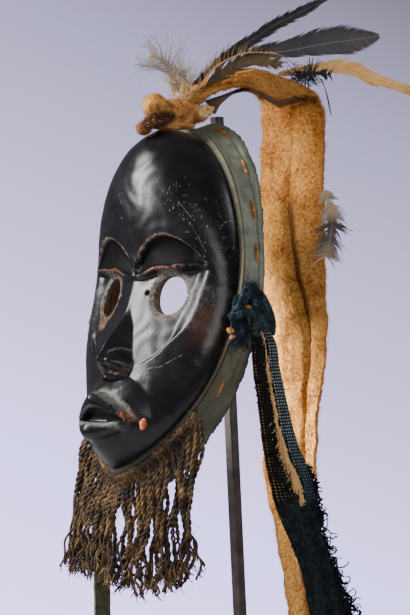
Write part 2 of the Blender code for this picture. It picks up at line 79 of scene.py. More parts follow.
# The room: a round pale floor, a lilac-grey sky that darkens upwards, a tall soft box on
# the mask's right front, a low fill, a faint light from behind for the edges and two narrow
# spots from the mask's right that end on the hanging strap.
def add(tree, kind, inputs=(), **properties):
    """Add a shader node; each input is a value or the output of another node."""
    made = tree.nodes.new("ShaderNode" + kind)
    for name, value in properties.items():
        setattr(made, name, value)
    for name, value in dict(inputs).items():
        if isinstance(value, bpy.types.NodeSocket):
            tree.links.new(value, made.inputs[name])
        else:
            made.inputs[name].default_value = value
    return made


def calc(tree, operation, first, second=0.0, third=0.0):
    values = {0: first, 1: second, 2: third}
    return add(tree, "Math", values, operation=operation, use_clamp=False).outputs[0]


def times(tree, first, second):
    return calc(tree, "MULTIPLY", first, second)


def scaled(tree, value, factor, offset):
    """A value times a factor, plus an offset."""
    return calc(tree, "MULTIPLY_ADD", value, factor, offset)


def colour_ramp(tree, value, stops):
    """Colours read along a value from (position, colour) stops."""
    ramp = add(tree, "ValToRGB", {"Fac": value})
    elements = ramp.color_ramp.elements
    while len(elements) < len(stops):
        elements.new(0.5)
    for element, (position, colour) in zip(elements, stops):
        element.position = position
        element.color = (*colour, 1.0)
    return ramp.outputs["Color"]


def blend(tree, share, first, second, mode="MIX"):
    """Mix two colours; each is a triple or the output of another node."""
    made = add(tree, "Mix", data_type="RGBA", blend_type=mode)
    for index, value in ((0, share), (6, first), (7, second)):
        if isinstance(value, bpy.types.NodeSocket):
            tree.links.new(value, made.inputs[index])
        else:
            made.inputs[index].default_value = (*value, 1.0) if index else value
    return made.outputs[2]


def step_up(tree, value, low, high):
    """0 below low, 1 above high, smooth between."""
    inputs = {"Value": value, "From Min": low, "From Max": high}
    return add(tree, "MapRange", inputs, interpolation_type="SMOOTHSTEP").outputs["Result"]


def paint(tree, shader, tone):
    tree.links.new(tone, shader.inputs["Base Color"])


def emboss(tree, shader, strength, distance, height):
    """Raise and sink the surface by a height value, as bump."""
    bump = add(tree, "Bump", {"Strength": strength, "Distance": distance, "Height": height})
    tree.links.new(bump.outputs[0], shader.inputs["Normal"])


def finish(name, roughness=0.8, **values):
    """A new material, with its node tree and its shader."""
    made = bpy.data.materials.new(name)
    made.use_nodes = True
    shader = made.node_tree.nodes["Principled BSDF"]
    shader.inputs["Roughness"].default_value = roughness
    for socket, value in values.items():
        shader.inputs[socket.replace("_", " ")].default_value = value
    return made, made.node_tree, shader


def show(name, mesh, *materials):
    """Put a mesh, a bmesh or a curve into the scene as a piece at the origin."""
    if isinstance(mesh, bmesh.types.BMesh):
        data = bpy.data.meshes.new(name)
        mesh.to_mesh(data)
        mesh.free()
        mesh = data
    for made in materials:
        mesh.materials.append(made)
    piece = bpy.data.objects.new(name, mesh)
    bpy.context.scene.collection.objects.link(piece)
    return piece


floor_radius = 0.44
bm = bmesh.new()
bmesh.ops.create_circle(bm, cap_ends=True, segments=96, radius=floor_radius)
bmesh.ops.translate(bm, vec=(0.0, 0.0, -0.0005), verts=bm.verts)
floor_paint, tree, shader = finish("floor_paint", 0.75)
grain = add(tree, "TexNoise", {"Scale": 60.0, "Detail": 3.0})
floor_tone = colour_ramp(tree, grain.outputs["Fac"], ((0.3, (0.66, 0.65, 0.72)), (0.7, (0.70, 0.69, 0.76))))
paint(tree, shader, floor_tone)
floor = show("floor", bm, floor_paint)

# The wall behind, in linear light, from the frame's lower left to its upper right
WALL_TONES = (
    (-0.150, (2.027, 1.683, 3.300)), (-0.072, (1.541, 1.435, 2.800)), (-0.004, (1.235, 1.070, 1.799)),
    (0.074, (0.840, 0.766, 1.198)), (0.130, (0.620, 0.590, 0.930)), (0.219, (0.278, 0.262, 0.356)),
)
WALL_LIGHT = 4.0
ACROSS = (0.682 * 0.40, 0.731 * 0.40, 1.0)

world = bpy.data.worlds.new("room")
bpy.context.scene.world = world
world.use_nodes = True
tree = world.node_tree
tree.nodes.clear()
direction = add(tree, "TexCoord").outputs["Generated"]
height = add(tree, "VectorMath", {0: direction, 1: ACROSS}, operation="DOT_PRODUCT").outputs["Value"]
lowest, highest = WALL_TONES[0][0], WALL_TONES[-1][0]
share = add(tree, "MapRange", {"Value": height, "From Min": lowest, "From Max": highest}).outputs[0]
wall = colour_ramp(tree, share,
    [((place - lowest) / (highest - lowest), tuple(value / WALL_LIGHT for value in tone))
                                 for place, tone in WALL_TONES])
seen = add(tree, "Background", {"Color": wall, "Strength": WALL_LIGHT})
dim = add(tree, "Background", {"Color": (0.50, 0.49, 0.58, 1.0), "Strength": 0.32})
chosen = add(tree, "MixShader", {0: add(tree, "LightPath").outputs["Is Camera Ray"],
                                 1: dim.outputs[0], 2: seen.outputs[0]})
add(tree, "OutputWorld", {"Surface": chosen.outputs[0]})


def hang(name, light, place, aim):
    holder = bpy.data.objects.new(name, light)
    bpy.context.scene.collection.objects.link(holder)
    holder.location = place
    holder.rotation_euler = (Vector(aim) - Vector(place)).to_track_quat("-Z", "Y").to_euler()


def soft_box(name, place, aim, size, watts, tint=(1.0, 1.0, 1.0)):
    light = bpy.data.lights.new(name, "AREA")
    light.shape = "RECTANGLE"
    light.size, light.size_y = size
    light.energy = watts
    light.color = tint
    hang(name, light, place, aim)


soft_box("key", (-0.500, -0.935, 0.850), (0.0, 0.0, 0.33), (0.28, 0.84), 50.0, (1.0, 0.985, 0.96))
soft_box("fill", (1.15, -0.60, 0.50), (0.0, 0.0, 0.28), (0.5, 0.6), 7.0, (1.0, 0.97, 0.93))
soft_box("edge", (0.55, 1.05, 0.75), (0.0, 0.0, 0.35), (0.4, 0.7), 9.0, (0.92, 0.95, 1.0))


def narrow_light(name, place, aim, angle, watts, edge):
    """A spot from the mask's right whose cone passes behind the face and ends on the strap."""
    light = bpy.data.lights.new(name, "SPOT")
    light.energy = watts
    light.color = (1.0, 0.96, 0.88)
    light.spot_size = math.radians(angle)
    light.spot_blend = edge
    light.shadow_soft_size = 0.035
    hang(name, light, place, aim)


narrow_light("strap_side", (-0.45, 0.0, 0.27), (0.0, 0.125, 0.215), 27.0, 80.0, 0.75)
narrow_light("strap_low", (-0.45, -0.30, 0.20), (-0.020, 0.161, 0.212), 16.5, 90.0, 0.3)


# The face: one block of hard wood, carved hollow to a wall of about a centimetre, smoked
# black and polished by hand. Its edges are worn back to tan, and the inside is left raw.
FACE_HEIGHT = 0.2465
FACE_HALF_WIDTH = 0.071
FACE_LEAN = math.radians(16.0)
CHIN_POINT = Vector((0.0, -0.073, 0.170))
BACK_AT_CHIN = 0.040
BACK_SLOPE = 0.058
WALL = 0.0095
EYE_CENTRE = (0.0308, 0.1215)
EYE_HALF_SIZE = (0.0123, 0.0142)
MOUTH_HALF_WIDTH = 0.025
MOUTH_HEIGHT = 0.0305
face_place = Matrix.Translation(CHIN_POINT) @ Matrix.Rotation(-FACE_LEAN, 4, "X")

# Heights above the chin with depths, widths or side distances there
BORDER_CURVE = (
    (0.0, 0.0), (0.025, 0.007), (0.055, 0.0125), (0.10, 0.0145),
    (0.155, 0.012), (0.194, 0.007), (0.220, 0.004), (FACE_HEIGHT, 0.0),
)
MIDDLE_PROFILE = (
    (0.0, -0.001), (0.010, -0.0145), (0.022, -0.0185), (0.045, -0.0165),
    (0.060, -0.0165), (0.078, -0.0180), (0.10, -0.0180), (0.125, -0.0185),
    (0.145, -0.0235), (0.165, -0.0330), (0.188, -0.0405), (0.208, -0.0420),
    (0.225, -0.0375), (0.236, -0.0290), (0.2425, -0.0195), (FACE_HEIGHT, -0.003),
)
CHEEK_EDGE = (
    (0.066, 0.0), (0.069, 0.016), (0.075, 0.028), (0.085, 0.038),
    (0.10, 0.0465), (0.125, 0.0525), (0.150, 0.057),
)
NOSE_RIDGE = (
    (0.056, -0.0250), (0.062, -0.0270), (0.0675, -0.0354),
    (0.075, -0.0340), (0.112, -0.0190), (0.125, -0.0180),
)
NOSE_HALF_WIDTH = (
    (0.056, 0.010), (0.064, 0.0145), (0.074, 0.0140), (0.085, 0.0110),
    (0.098, 0.0080), (0.110, 0.003), (0.120, 0.001),
)


def smooth_step(low, high, value):
    t = np.clip((value - low) / (high - low), 0.0, 1.0)
    return t * t * (3.0 - 2.0 * t)


def curve_value(points, value):
    """Read a smooth curve through a few (position, value) points."""
    places = np.array([point[0] for point in points])
    levels = np.array([point[1:] for point in points], dtype=float)
    slopes = np.gradient(levels, places, axis=0)
    value = np.asarray(value, dtype=float)
    index = np.clip(np.searchsorted(places, value) - 1, 0, len(places) - 2)
    span = places[index + 1] - places[index]
    t = np.clip((value - places[index]) / span, 0.0, 1.0)[..., None]
    span = span[..., None]
    found = ((2 * t**3 - 3 * t**2 + 1) * levels[index] + (t**3 - 2 * t**2 + t) * span * slopes[index]
             + (3 * t**2 - 2 * t**3) * levels[index + 1] + (t**3 - t**2) * span * slopes[index + 1])
    return found[..., 0] if levels.shape[1] == 1 else found


def half_width(height):
    s = 2.0 * height / FACE_HEIGHT - 1.0
    power = 0.61 + 0.11 * smooth_step(0.5, -0.6, s)
    return FACE_HALF_WIDTH * np.clip(1.0 - s * s, 0.0, 1.0) ** power


def back_plane(z):
    return BACK_AT_CHIN - BACK_SLOPE * z


def dome(x, z):
    """The face without features: one rounded shell from the border to the middle profile."""
    border = curve_value(BORDER_CURVE, z)
    middle = curve_value(MIDDLE_PROFILE, z)
    u = np.clip(np.abs(x) / np.maximum(half_width(z), 1e-6), 0.0, 1.0)
    fullness = 0.56 - 0.06 * smooth_step(0.13, 0.18, z) + 0.05 * smooth_step(0.09, 0.04, z)
    return border + (middle - border) * (1.0 - u * u) ** fullness


def brow_line(side):
    t = np.clip((side - 0.002) / 0.056, 0.0, 1.0)
    return 0.1385 + 0.0195 * np.sin(np.pi * t**0.9) ** 0.74 + 0.0045 * t


def lid_line(side):
    return 0.133 + 0.0055 * smooth_step(0.004, 0.024, side) + 0.0045 * smooth_step(0.025, 0.058, side)


def near(value, width):
    """1 where a distance is nothing, fading over a width."""
    return np.exp(-((value / width) ** 2))


def on_brow(side):
    return smooth_step(0.002, 0.008, side) * smooth_step(0.0600, 0.056, side)


def add_brow(y, side, z):
    """Scoop out the crescent under the brow, and leave the brow's edge a little proud."""
    brow = brow_line(side)
    lid = lid_line(side)
    opening = np.maximum(brow - lid, 1e-4)
    down = np.clip((brow - z) / opening, 0.0, 1.0)
    depth = 0.0048 * np.minimum(1.0, opening / 0.012)
    scoop = depth * np.sin(np.pi * down**0.42) ** 0.8
    inside = (side > 0.002) & (side < 0.058) & (z < brow) & (z > lid)
    return np.where(inside, y + scoop, y) - 0.0003 * near(z - brow, 0.0009) * on_brow(side)


def add_cheek(y, side, z):
    """Cut the flat plane of eye and cheek, with the eyelid as a ridge along its top."""
    plane = -0.0188 + 0.19 * side + 2.3 * side**2 + 0.02 * (z - 0.112)
    lid = lid_line(side)
    below_lid = smooth_step(-0.0005, 0.0035, lid - z)
    soft = 0.0018 + 0.0050 * smooth_step(0.085, 0.105, z)
    within_edge = smooth_step(-soft, soft, curve_value(CHEEK_EDGE, z) - side)
    y = y + (plane - y) * below_lid * within_edge * (z > 0.066)
    ridge = 0.0011 * near(z - lid, 0.0019)
    return y - ridge * smooth_step(0.060, 0.050, side)


def add_muzzle_and_chin(y, side, z):
    around_mouth = np.sqrt((side / 0.034) ** 2 + ((z - 0.038) / 0.026) ** 2)
    around_chin = np.sqrt((side / 0.019) ** 2 + ((z - 0.014) / 0.014) ** 2)
    y = y - 0.009 * np.clip(1.0 - around_mouth**2, 0.0, 1.0)
    return y - 0.0068 * np.clip(1.0 - around_chin, 0.0, 1.0)


def add_nose(y, side, z):
    """A straight wedge with a sharp ridge, and a small round wing on each side."""
    ridge = curve_value(NOSE_RIDGE, z)
    width = curve_value(NOSE_HALF_WIDTH, z)
    wedge = y + (ridge - y) * np.clip(1.0 - side / width, 0.0, 1.0)
    y = np.where((z < 0.120) & (z > 0.058), np.minimum(wedge, y), y)
    around_wing = np.sqrt(((side - 0.0098) / 0.0058) ** 2 + ((z - 0.069) / 0.007) ** 2)
    return y - 0.0035 * np.sqrt(np.clip(1.0 - around_wing**2, 0.0, 1.0))


def add_mouth(y, side, z):
    """Two pushed-out lips that meet at the corners, with a deep slot between them."""
    t = np.clip(side / MOUTH_HALF_WIDTH, 0.0, 1.0)
    rise = 1.0 - t**1.25
    upper_line = MOUTH_HEIGHT + 0.0105 - 0.011 * t**1.6
    lower_line = MOUTH_HEIGHT - 0.0105 + 0.010 * t**1.9
    upper_roll = 0.0064 * np.sqrt(rise) + 0.0006
    lower_roll = 0.0062 * np.sqrt(rise) + 0.0006
    inside = side < MOUTH_HALF_WIDTH
    lips = (
        (upper_line, upper_roll, -0.0200 - 0.0155 * rise),
        (lower_line, lower_roll, -0.0190 - 0.0145 * rise),
    )
    for line, roll, front in lips:
        bulge = np.sqrt(np.clip(1.0 - ((z - line) / roll) ** 2, 0.0, 1.0))
        y = np.where(inside, np.minimum(y, y + (np.minimum(front, y) - y) * bulge), y)
    slot_top = upper_line - upper_roll
    slot_bottom = lower_line + lower_roll
    half_slot = np.maximum((slot_top - slot_bottom) / 2 + 0.0016, 1e-4)
    slot = np.sqrt(np.clip(1.0 - ((z - (slot_top + slot_bottom) / 2) / half_slot) ** 2, 0.0, 1.0))
    return np.where(inside, y + 0.012 * slot * rise, y)


def eye_distance(side, z):
    """How far a point is from an eye hole's middle, where the hole's rim is at 1."""
    return np.hypot((side - EYE_CENTRE[0]) / EYE_HALF_SIZE[0], (z - EYE_CENTRE[1]) / EYE_HALF_SIZE[1])


PIN_HOLES = ((0.0140, 0.1217), (0.0438, 0.1230), (0.0341, 0.1392))


def add_wear(y, x, z):
    """Round the rims of the eye holes, drill the pin holes and dent the old surface a little."""
    side = np.abs(x)
    y = y + 0.0012 * near(np.maximum(eye_distance(side, z) - 1.0, 0.0), 0.09)
    for pin_side, pin_height in PIN_HOLES:
        y = y + 0.0030 * near(np.hypot(side - pin_side, z - pin_height), 0.0010)
    dents = np.sin(x * 310.0 + 2.0 * np.sin(z * 170.0)) * np.sin(z * 270.0 + 1.3 * np.sin(x * 210.0))
    return y + 0.00016 * dents * smooth_step(0.0, 0.004, z)


def face_depth(x, z):
    side = np.abs(x)
    y = dome(x, z)
    for feature in (add_brow, add_cheek, add_muzzle_and_chin, add_nose, add_mouth):
        y = feature(y, side, z)
    return y


def bend(bm, rule):
    """Move every point of a bmesh by a rule on arrays of x, y and z."""
    points = np.array([vert.co for vert in bm.verts])
    x, y, z = rule(points[:, 0], points[:, 1], points[:, 2])
    for vert, place in zip(bm.verts, zip(x, y, z)):
        vert.co = place


def face_block(depth, columns, rows, shrink, behind):
    """A grid bent to the face's outline and depth, closed by a flat back."""
    def to_face(a, b, _):
        even = (b + 1.0) / 2.0
        z = FACE_HEIGHT * (0.62 * even + 0.19 * (1.0 - np.cos(np.pi * even)))
        x = half_width(z) * (0.55 * a + 0.45 * np.sin(np.pi * a / 2.0))
        middle = FACE_HEIGHT / 2.0
        narrower = 1.0 - shrink / FACE_HALF_WIDTH
        lower = 1.0 - shrink / middle
        return x * narrower, depth(x, z), middle + (z - middle) * lower

    bm = bmesh.new()
    bmesh.ops.create_grid(bm, x_segments=columns, y_segments=rows, size=1.0)
    bend(bm, to_face)
    bmesh.ops.remove_doubles(bm, verts=bm.verts, dist=1e-5)
    rim = [edge for edge in bm.edges if edge.is_boundary]
    walls = bmesh.ops.extrude_edge_only(bm, edges=rim)["geom"]
    for vert in [item for item in walls if isinstance(item, bmesh.types.BMVert)]:
        vert.co.y = float(back_plane(vert.co.z)) + behind
    bmesh.ops.holes_fill(bm, edges=[edge for edge in bm.edges if edge.is_boundary], sides=0)
    bmesh.ops.recalc_face_normals(bm, faces=bm.faces)
    return bm


def settle(piece, place=None):
    """Apply a piece's modifiers, and its place, to its mesh."""
    bpy.context.view_layer.update()
    evaluated = piece.evaluated_get(bpy.context.evaluated_depsgraph_get())
    old = piece.data
    piece.data = bpy.data.meshes.new_from_object(evaluated)
    piece.modifiers.clear()
    if old.users == 0:
        bpy.data.batch_remove([old])
    if place is not None:
        piece.data.transform(place)
    return piece


def carve(piece, *tools):
    """Cut closed tools out of a closed piece."""
    for tool in tools:
        modifier = piece.modifiers.new(tool.name, "BOOLEAN")
        modifier.object = tool
        modifier.operation = "DIFFERENCE"
        modifier.solver = "MANIFOLD"
    settle(piece)
    piece.data.materials.clear()
    for tool in tools:
        bpy.data.objects.remove(tool, do_unlink=True)


def mark(mesh, name, values):
    """Keep a number for every point of a mesh, for its material to read."""
    attribute = mesh.attributes.new(name, "FLOAT", "POINT")
    attribute.data.foreach_set("value", np.asarray(values, dtype=np.float32))


def coordinates(mesh):
    flat = np.zeros(len(mesh.vertices) * 3, dtype=np.float32)
    mesh.vertices.foreach_get("co", flat)
    return flat.reshape(-1, 3).astype(float)


fine_columns, fine_rows = ((205, 310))
face = show("carved_face",
    face_block(lambda x, z: add_wear(face_depth(x, z), x, z), fine_columns, fine_rows, 0.0, 0.0))
hollow = show("hollow", face_block(lambda x, z: dome(x, z) + WALL, 40, 56, WALL, 0.02))
eye_tools = []
for side in (-1, 1):
    bm = bmesh.new()
    bmesh.ops.create_cone(bm, cap_ends=True, segments=96, radius1=1.0, radius2=1.0, depth=0.1)
    bmesh.ops.scale(bm, vec=(EYE_HALF_SIZE[0], EYE_HALF_SIZE[1], 1.0), verts=bm.verts)
    bmesh.ops.rotate(bm, matrix=Matrix.Rotation(math.pi / 2, 3, "X"), verts=bm.verts)
    bmesh.ops.translate(bm, vec=(side * EYE_CENTRE[0], 0.0, EYE_CENTRE[1]), verts=bm.verts)
    eye_tools.append(show("eye_tool_left" if side > 0 else "eye_tool_right", bm))
carve(face, hollow, *eye_tools)

x, y, z = coordinates(face.data).T
side = np.abs(x)
front = smooth_step(0.0045, 0.002,
    y - face_depth(np.clip(x, -0.0709, 0.0709), np.clip(z, 0.0, FACE_HEIGHT)))
rim = eye_distance(side, z)
rim_edge = near(np.maximum(rim - 1.0, 0.0), 0.13) * (0.55 + 0.45 * smooth_step(0.122, 0.112, z))
corner = near(np.hypot(side - 0.0235, z - 0.0325), 0.0042)
nose_base = (near(z - 0.062, 0.0018) * near(side - 0.008, 0.008)
    + near(np.hypot(side - 0.0135, z - 0.066), 0.0022))
nose_line = near(side, 0.0004) * smooth_step(0.066, 0.072, z) * smooth_step(0.128, 0.118, z)
worn = 0.20 * rim_edge + 0.52 * corner + 0.42 * nose_base + 0.30 * nose_line
worn += 0.30 * near(z - 0.2435, 0.0030) * near(side - 0.010, 0.022)
worn += 0.20 * near(z - MOUTH_HEIGHT - 0.0038, 0.0016) * smooth_step(0.026, 0.018, side)
worn += 0.26 * near(z - MOUTH_HEIGHT + 0.0034, 0.0016) * smooth_step(0.024, 0.012, side)
upper_lip = (near(z - (MOUTH_HEIGHT + 0.0175 - 0.013 * (side / MOUTH_HALF_WIDTH) ** 1.5), 0.0042)
    * smooth_step(0.034, 0.022, side))
lower_lip = near(z - (MOUTH_HEIGHT - 0.0052), 0.0030) * smooth_step(0.024, 0.018, side)
wing_edge = (near(np.hypot((side - 0.0105) / 0.0075, (z - 0.0715) / 0.0085) - 1.0, 0.16)
    * smooth_step(0.070, 0.075, z))
scuffed = 0.7 * near(z - 0.243, 0.0060) + 0.90 * upper_lip + 1.0 * lower_lip + 0.8 * near(rim - 1.0, 0.30)
scuffed += 0.55 * wing_edge + 0.35 * near(side - 0.050, 0.007) * near(z - 0.132, 0.006)
scuffed += (0.35 * smooth_step(0.040, 0.052, side) * smooth_step(0.092, 0.100, z)
    * smooth_step(0.135, 0.128, z))
chip_spots = ((0.0396, 0.1943), (0.0348, 0.186), (0.046, 0.1884), (0.0528, 0.1749), (0.0617, 0.1702),
              (0.0616, 0.1767), (0.0612, 0.1593), (0.0614, 0.1524), (0.040, 0.176), (0.052, 0.162))
chipped = sum(near(np.hypot(x - spot[0], z - spot[1]), 0.0065) for spot in chip_spots) * 0.8
for spot_x, spot_z, size in ((-0.0123, 0.1962, 0.0045), (-0.0078, 0.1845, 0.0035),
    (-0.0070, 0.1717, 0.0030)):
    chipped += 0.55 * near(np.hypot(x - spot_x, 0.7 * (z - spot_z)), size)
chipped += (0.12 * smooth_step(0.15, 0.18, z) * smooth_step(0.225, 0.19, z) + 0.30 * near(x - 0.060, 0.007)
    * smooth_step(0.09, 0.10, z))
raw_right_eye = (near(np.hypot(x + 0.034, z - 0.1045), 0.0075) + 0.7 * near(rim - 1.0, 0.25) * (x < 0)
    * smooth_step(0.128, 0.112, z))
stained = (near(np.hypot(x - 0.0606, 1.0 * (z - 0.1092)), 0.0065) + 0.9
    * near(np.hypot(x - 0.0595, z - 0.0952), 0.0075))
mark(face.data, "worn", np.clip(worn * front, 0.0, 1.0))
mark(face.data, "scuffed", np.clip(scuffed * front, 0.0, 1.0))
mark(face.data, "chipped", np.clip(chipped * front, 0.0, 1.0))
mark(face.data, "raw", np.clip(raw_right_eye * front, 0.0, 1.0))
mark(face.data, "stained", np.clip(stained * front, 0.0, 1.0))
mark(face.data, "inside", 1.0 - front)
face.data.transform(face_place)
face.data.shade_smooth()
face.data.set_sharp_from_angle(angle=math.radians(55))


def attribute(tree, name):
    return add(tree, "Attribute", attribute_name=name).outputs["Fac"]


def noise(tree, place, scale, detail=4.0, roughness=0.55, distortion=0.0):
    inputs = {"Vector": place, "Scale": scale, "Detail": detail, "Roughness": roughness,
        "Distortion": distortion}
    return add(tree, "TexNoise", inputs).outputs["Fac"]


def stretched(tree, place, scale, turn=(0.0, 0.0, 0.0)):
    inputs = {"Vector": place, "Scale": scale, "Rotation": turn}
    return add(tree, "Mapping", inputs).outputs["Vector"]


def scratch_line(tree, flat_place, start, end, width):
    """1 along a straight line on the face, seen from straight ahead, and 0 beside it."""
    first = Vector((start[0], 0.0, start[1]))
    along = Vector((end[0], 0.0, end[1])) - first
    from_start = add(tree, "VectorMath", {0: flat_place, 1: first}, operation="SUBTRACT").outputs[0]
    per_length = along / along.length_squared
    share = add(tree, "VectorMath", {0: from_start, 1: per_length},
        operation="DOT_PRODUCT").outputs["Value"]
    held = add(tree, "Clamp", {"Value": share}).outputs[0]
    foot = add(tree, "VectorMath", {0: along, "Scale": held}, operation="SCALE").outputs[0]
    gap = add(tree, "VectorMath", {0: from_start, 1: foot}, operation="DISTANCE").outputs["Value"]
    return step_up(tree, gap, width, width * 0.35)


polished_wood, tree, shader = finish("smoked_polished_wood", 0.25, Specular_IOR_Level=0.24)
place = add(tree, "TexCoord").outputs["Object"]
face_coordinates = add(tree, "Mapping", {"Vector": place, "Location": -CHIN_POINT}).outputs["Vector"]
face_coordinates = add(tree, "Mapping",
    {"Vector": face_coordinates, "Rotation": (FACE_LEAN, 0.0, 0.0)}).outputs["Vector"]
flat_place = add(tree, "VectorMath", {0: face_coordinates, 1: (1.0, 0.0, 1.0)},
    operation="MULTIPLY").outputs[0]
cloud = noise(tree, place, 55.0, 5.0)
fine = noise(tree, place, 420.0, 5.0, 0.65)
grain = noise(tree, stretched(tree, face_coordinates, (900.0, 900.0, 60.0)), 1.0, 3.0, 0.6)
coat = colour_ramp(tree, cloud,
    ((0.35, (0.0036, 0.0034, 0.0047)), (0.55, (0.0052, 0.0049, 0.0062)), (0.75, (0.0085, 0.0076, 0.0080))))
worn_patch = step_up(tree, scaled(tree, attribute(tree, "worn"), 1.35, scaled(tree, fine, 0.9, -0.72)),
    0.02, 0.42)
tan = colour_ramp(tree, noise(tree, place, 260.0, 4.0),
    ((0.30, (0.050, 0.018, 0.010)), (0.48, (0.13, 0.050, 0.026)), (0.62, (0.24, 0.14, 0.085)),
        (0.78, (0.36, 0.27, 0.19))))
scuff_patch = step_up(tree, scaled(tree, attribute(tree, "scuffed"), 0.9, scaled(tree, fine, 0.8, -0.55)),
    0.0, 0.75)
dust = colour_ramp(tree, noise(tree, place, 330.0, 3.0),
    ((0.3, (0.045, 0.045, 0.045)), (0.6, (0.115, 0.112, 0.100)), (0.8, (0.20, 0.185, 0.15))))
raw_patch = step_up(tree, scaled(tree, attribute(tree, "raw"), 1.2, scaled(tree, fine, 0.8, -0.6)), 0.05,
    0.5)
raw_tone = colour_ramp(tree, noise(tree, place, 300.0, 4.0),
    ((0.3, (0.018, 0.010, 0.007)), (0.55, (0.070, 0.042, 0.028)), (0.75, (0.19, 0.135, 0.090))))
inner_tone = colour_ramp(tree, scaled(tree, grain, 0.6, times(tree, cloud, 0.4)),
                         ((0.3, (0.020, 0.010, 0.005)), (0.5, (0.070, 0.034, 0.016)),
                             (0.7, (0.16, 0.085, 0.042))))
speck = step_up(tree,
    noise(tree, stretched(tree, face_coordinates, (620.0, 620.0, 460.0), (0.0, 0.6, 0.0)), 1.0, 2.0, 0.6),
    0.64, 0.69)
nick = times(tree, speck, step_up(tree, attribute(tree, "chipped"), 0.08, 0.85))
scratches = (
    ((0.0395, 0.1832), (0.0479, 0.1736)), ((0.0450, 0.1836), (0.0513, 0.1781)),
    ((0.0471, 0.1700), (0.0520, 0.1621)), ((0.0520, 0.1621), (0.0570, 0.1519)),
    ((0.0360, 0.1965), (0.0372, 0.1900)), ((0.0247, 0.0674), (0.0371, 0.0699)),
    ((0.0371, 0.0699), (0.0506, 0.0798)), ((0.0615, 0.1790), (0.0610, 0.1700)),
)
scratched = 0.0
for start, end in scratches:
    scratched = calc(tree, "MAXIMUM", scratched, scratch_line(tree, flat_place, start, end, 0.00024))
pale = calc(tree, "MAXIMUM", nick, times(tree, scratched, step_up(tree, fine, 0.40, 0.60)))

# The brow's cut edge, the crescent under it and the eyelid's crust, from the face's own curves
spot = add(tree, "SeparateXYZ", {0: face_coordinates})
side_way = calc(tree, "ABSOLUTE", spot.outputs["X"])
height = spot.outputs["Z"]
brow_share = add(tree, "MapRange", {"Value": side_way, "From Min": 0.002, "From Max": 0.058}).outputs[0]
arch = calc(tree, "SINE", times(tree, calc(tree, "POWER", brow_share, 0.9), math.pi))
brow_height = scaled(tree, calc(tree, "POWER", calc(tree, "MAXIMUM", arch, 0.0), 0.74), 0.0195, 0.1385)
brow_height = scaled(tree, brow_share, 0.0045, brow_height)
inner_lid = add(tree, "MapRange",
    {"Value": side_way, "From Min": 0.004, "From Max": 0.024, "To Min": 0.133, "To Max": 0.1385},
                interpolation_type="SMOOTHSTEP").outputs[0]
outer_lid = add(tree, "MapRange",
    {"Value": side_way, "From Min": 0.025, "From Max": 0.058, "To Min": 0.0, "To Max": 0.0045},
                interpolation_type="SMOOTHSTEP").outputs[0]
from_brow = calc(tree, "SUBTRACT", height, brow_height)
from_lid = calc(tree, "SUBTRACT", height, calc(tree, "ADD", inner_lid, outer_lid))
in_span = times(tree, step_up(tree, side_way, 0.003, 0.006), step_up(tree, side_way, 0.0590, 0.0565))
broken = noise(tree, place, 240.0, 4.0, 0.7)
wobble = scaled(tree, fine, 0.0012, -0.0006)
steepness = scaled(tree, step_up(tree, side_way, 0.020, 0.002), 2.6, 1.0)
over_brow = calc(tree, "ADD", from_brow, wobble)
edge_width = calc(tree, "DIVIDE", over_brow, steepness)
brow_line_mark = times(tree, step_up(tree, over_brow, -0.00030, 0.00010),
    step_up(tree, edge_width, 0.00085, 0.00045))
brow_line_mark = times(tree, brow_line_mark, in_span)
brow_line_mark = times(tree, brow_line_mark, step_up(tree, broken, 0.34, 0.46))
crescent = times(tree, step_up(tree, from_brow, 0.0002, -0.0010), step_up(tree, from_lid, -0.0002, 0.0010))
crescent = times(tree, crescent, in_span)
lid_wave = calc(tree, "ABSOLUTE", scaled(tree, broken, 0.0040, calc(tree, "SUBTRACT", from_lid, 0.0022)))
crust_span = times(tree, step_up(tree, side_way, 0.008, 0.018), step_up(tree, side_way, 0.046, 0.034))
crust = times(tree, step_up(tree, lid_wave, 0.0014, 0.0004), crust_span)
crust = times(tree, crust, step_up(tree, fine, 0.36, 0.50))
lid_line_mark = times(tree, step_up(tree, calc(tree, "ABSOLUTE", from_lid), 0.0007, 0.0002), in_span)
lid_line_mark = times(tree, lid_line_mark, times(tree, step_up(tree, broken, 0.46, 0.60), 0.5))
eye_side = calc(tree, "DIVIDE", calc(tree, "SUBTRACT", side_way, EYE_CENTRE[0]), EYE_HALF_SIZE[0])
eye_up = calc(tree, "DIVIDE", calc(tree, "SUBTRACT", height, EYE_CENTRE[1]), EYE_HALF_SIZE[1])
eye_far = calc(tree, "SQRT",
    calc(tree, "ADD", times(tree, eye_side, eye_side), times(tree, eye_up, eye_up)))
eye_ring = step_up(tree, scaled(tree, broken, 0.55, calc(tree, "SUBTRACT", eye_far, 0.27)), 1.42, 1.10)
line_tone = colour_ramp(tree, broken,
    ((0.38, (0.060, 0.028, 0.016)), (0.52, (0.15, 0.088, 0.055)), (0.66, (0.30, 0.22, 0.15))))
crust_tone = colour_ramp(tree, fine,
    ((0.38, (0.030, 0.010, 0.007)), (0.52, (0.10, 0.036, 0.018)), (0.64, (0.26, 0.17, 0.11))))
ring_tone = colour_ramp(tree, fine,
    ((0.36, (0.018, 0.012, 0.008)), (0.50, (0.075, 0.062, 0.050)), (0.66, (0.17, 0.150, 0.120))))

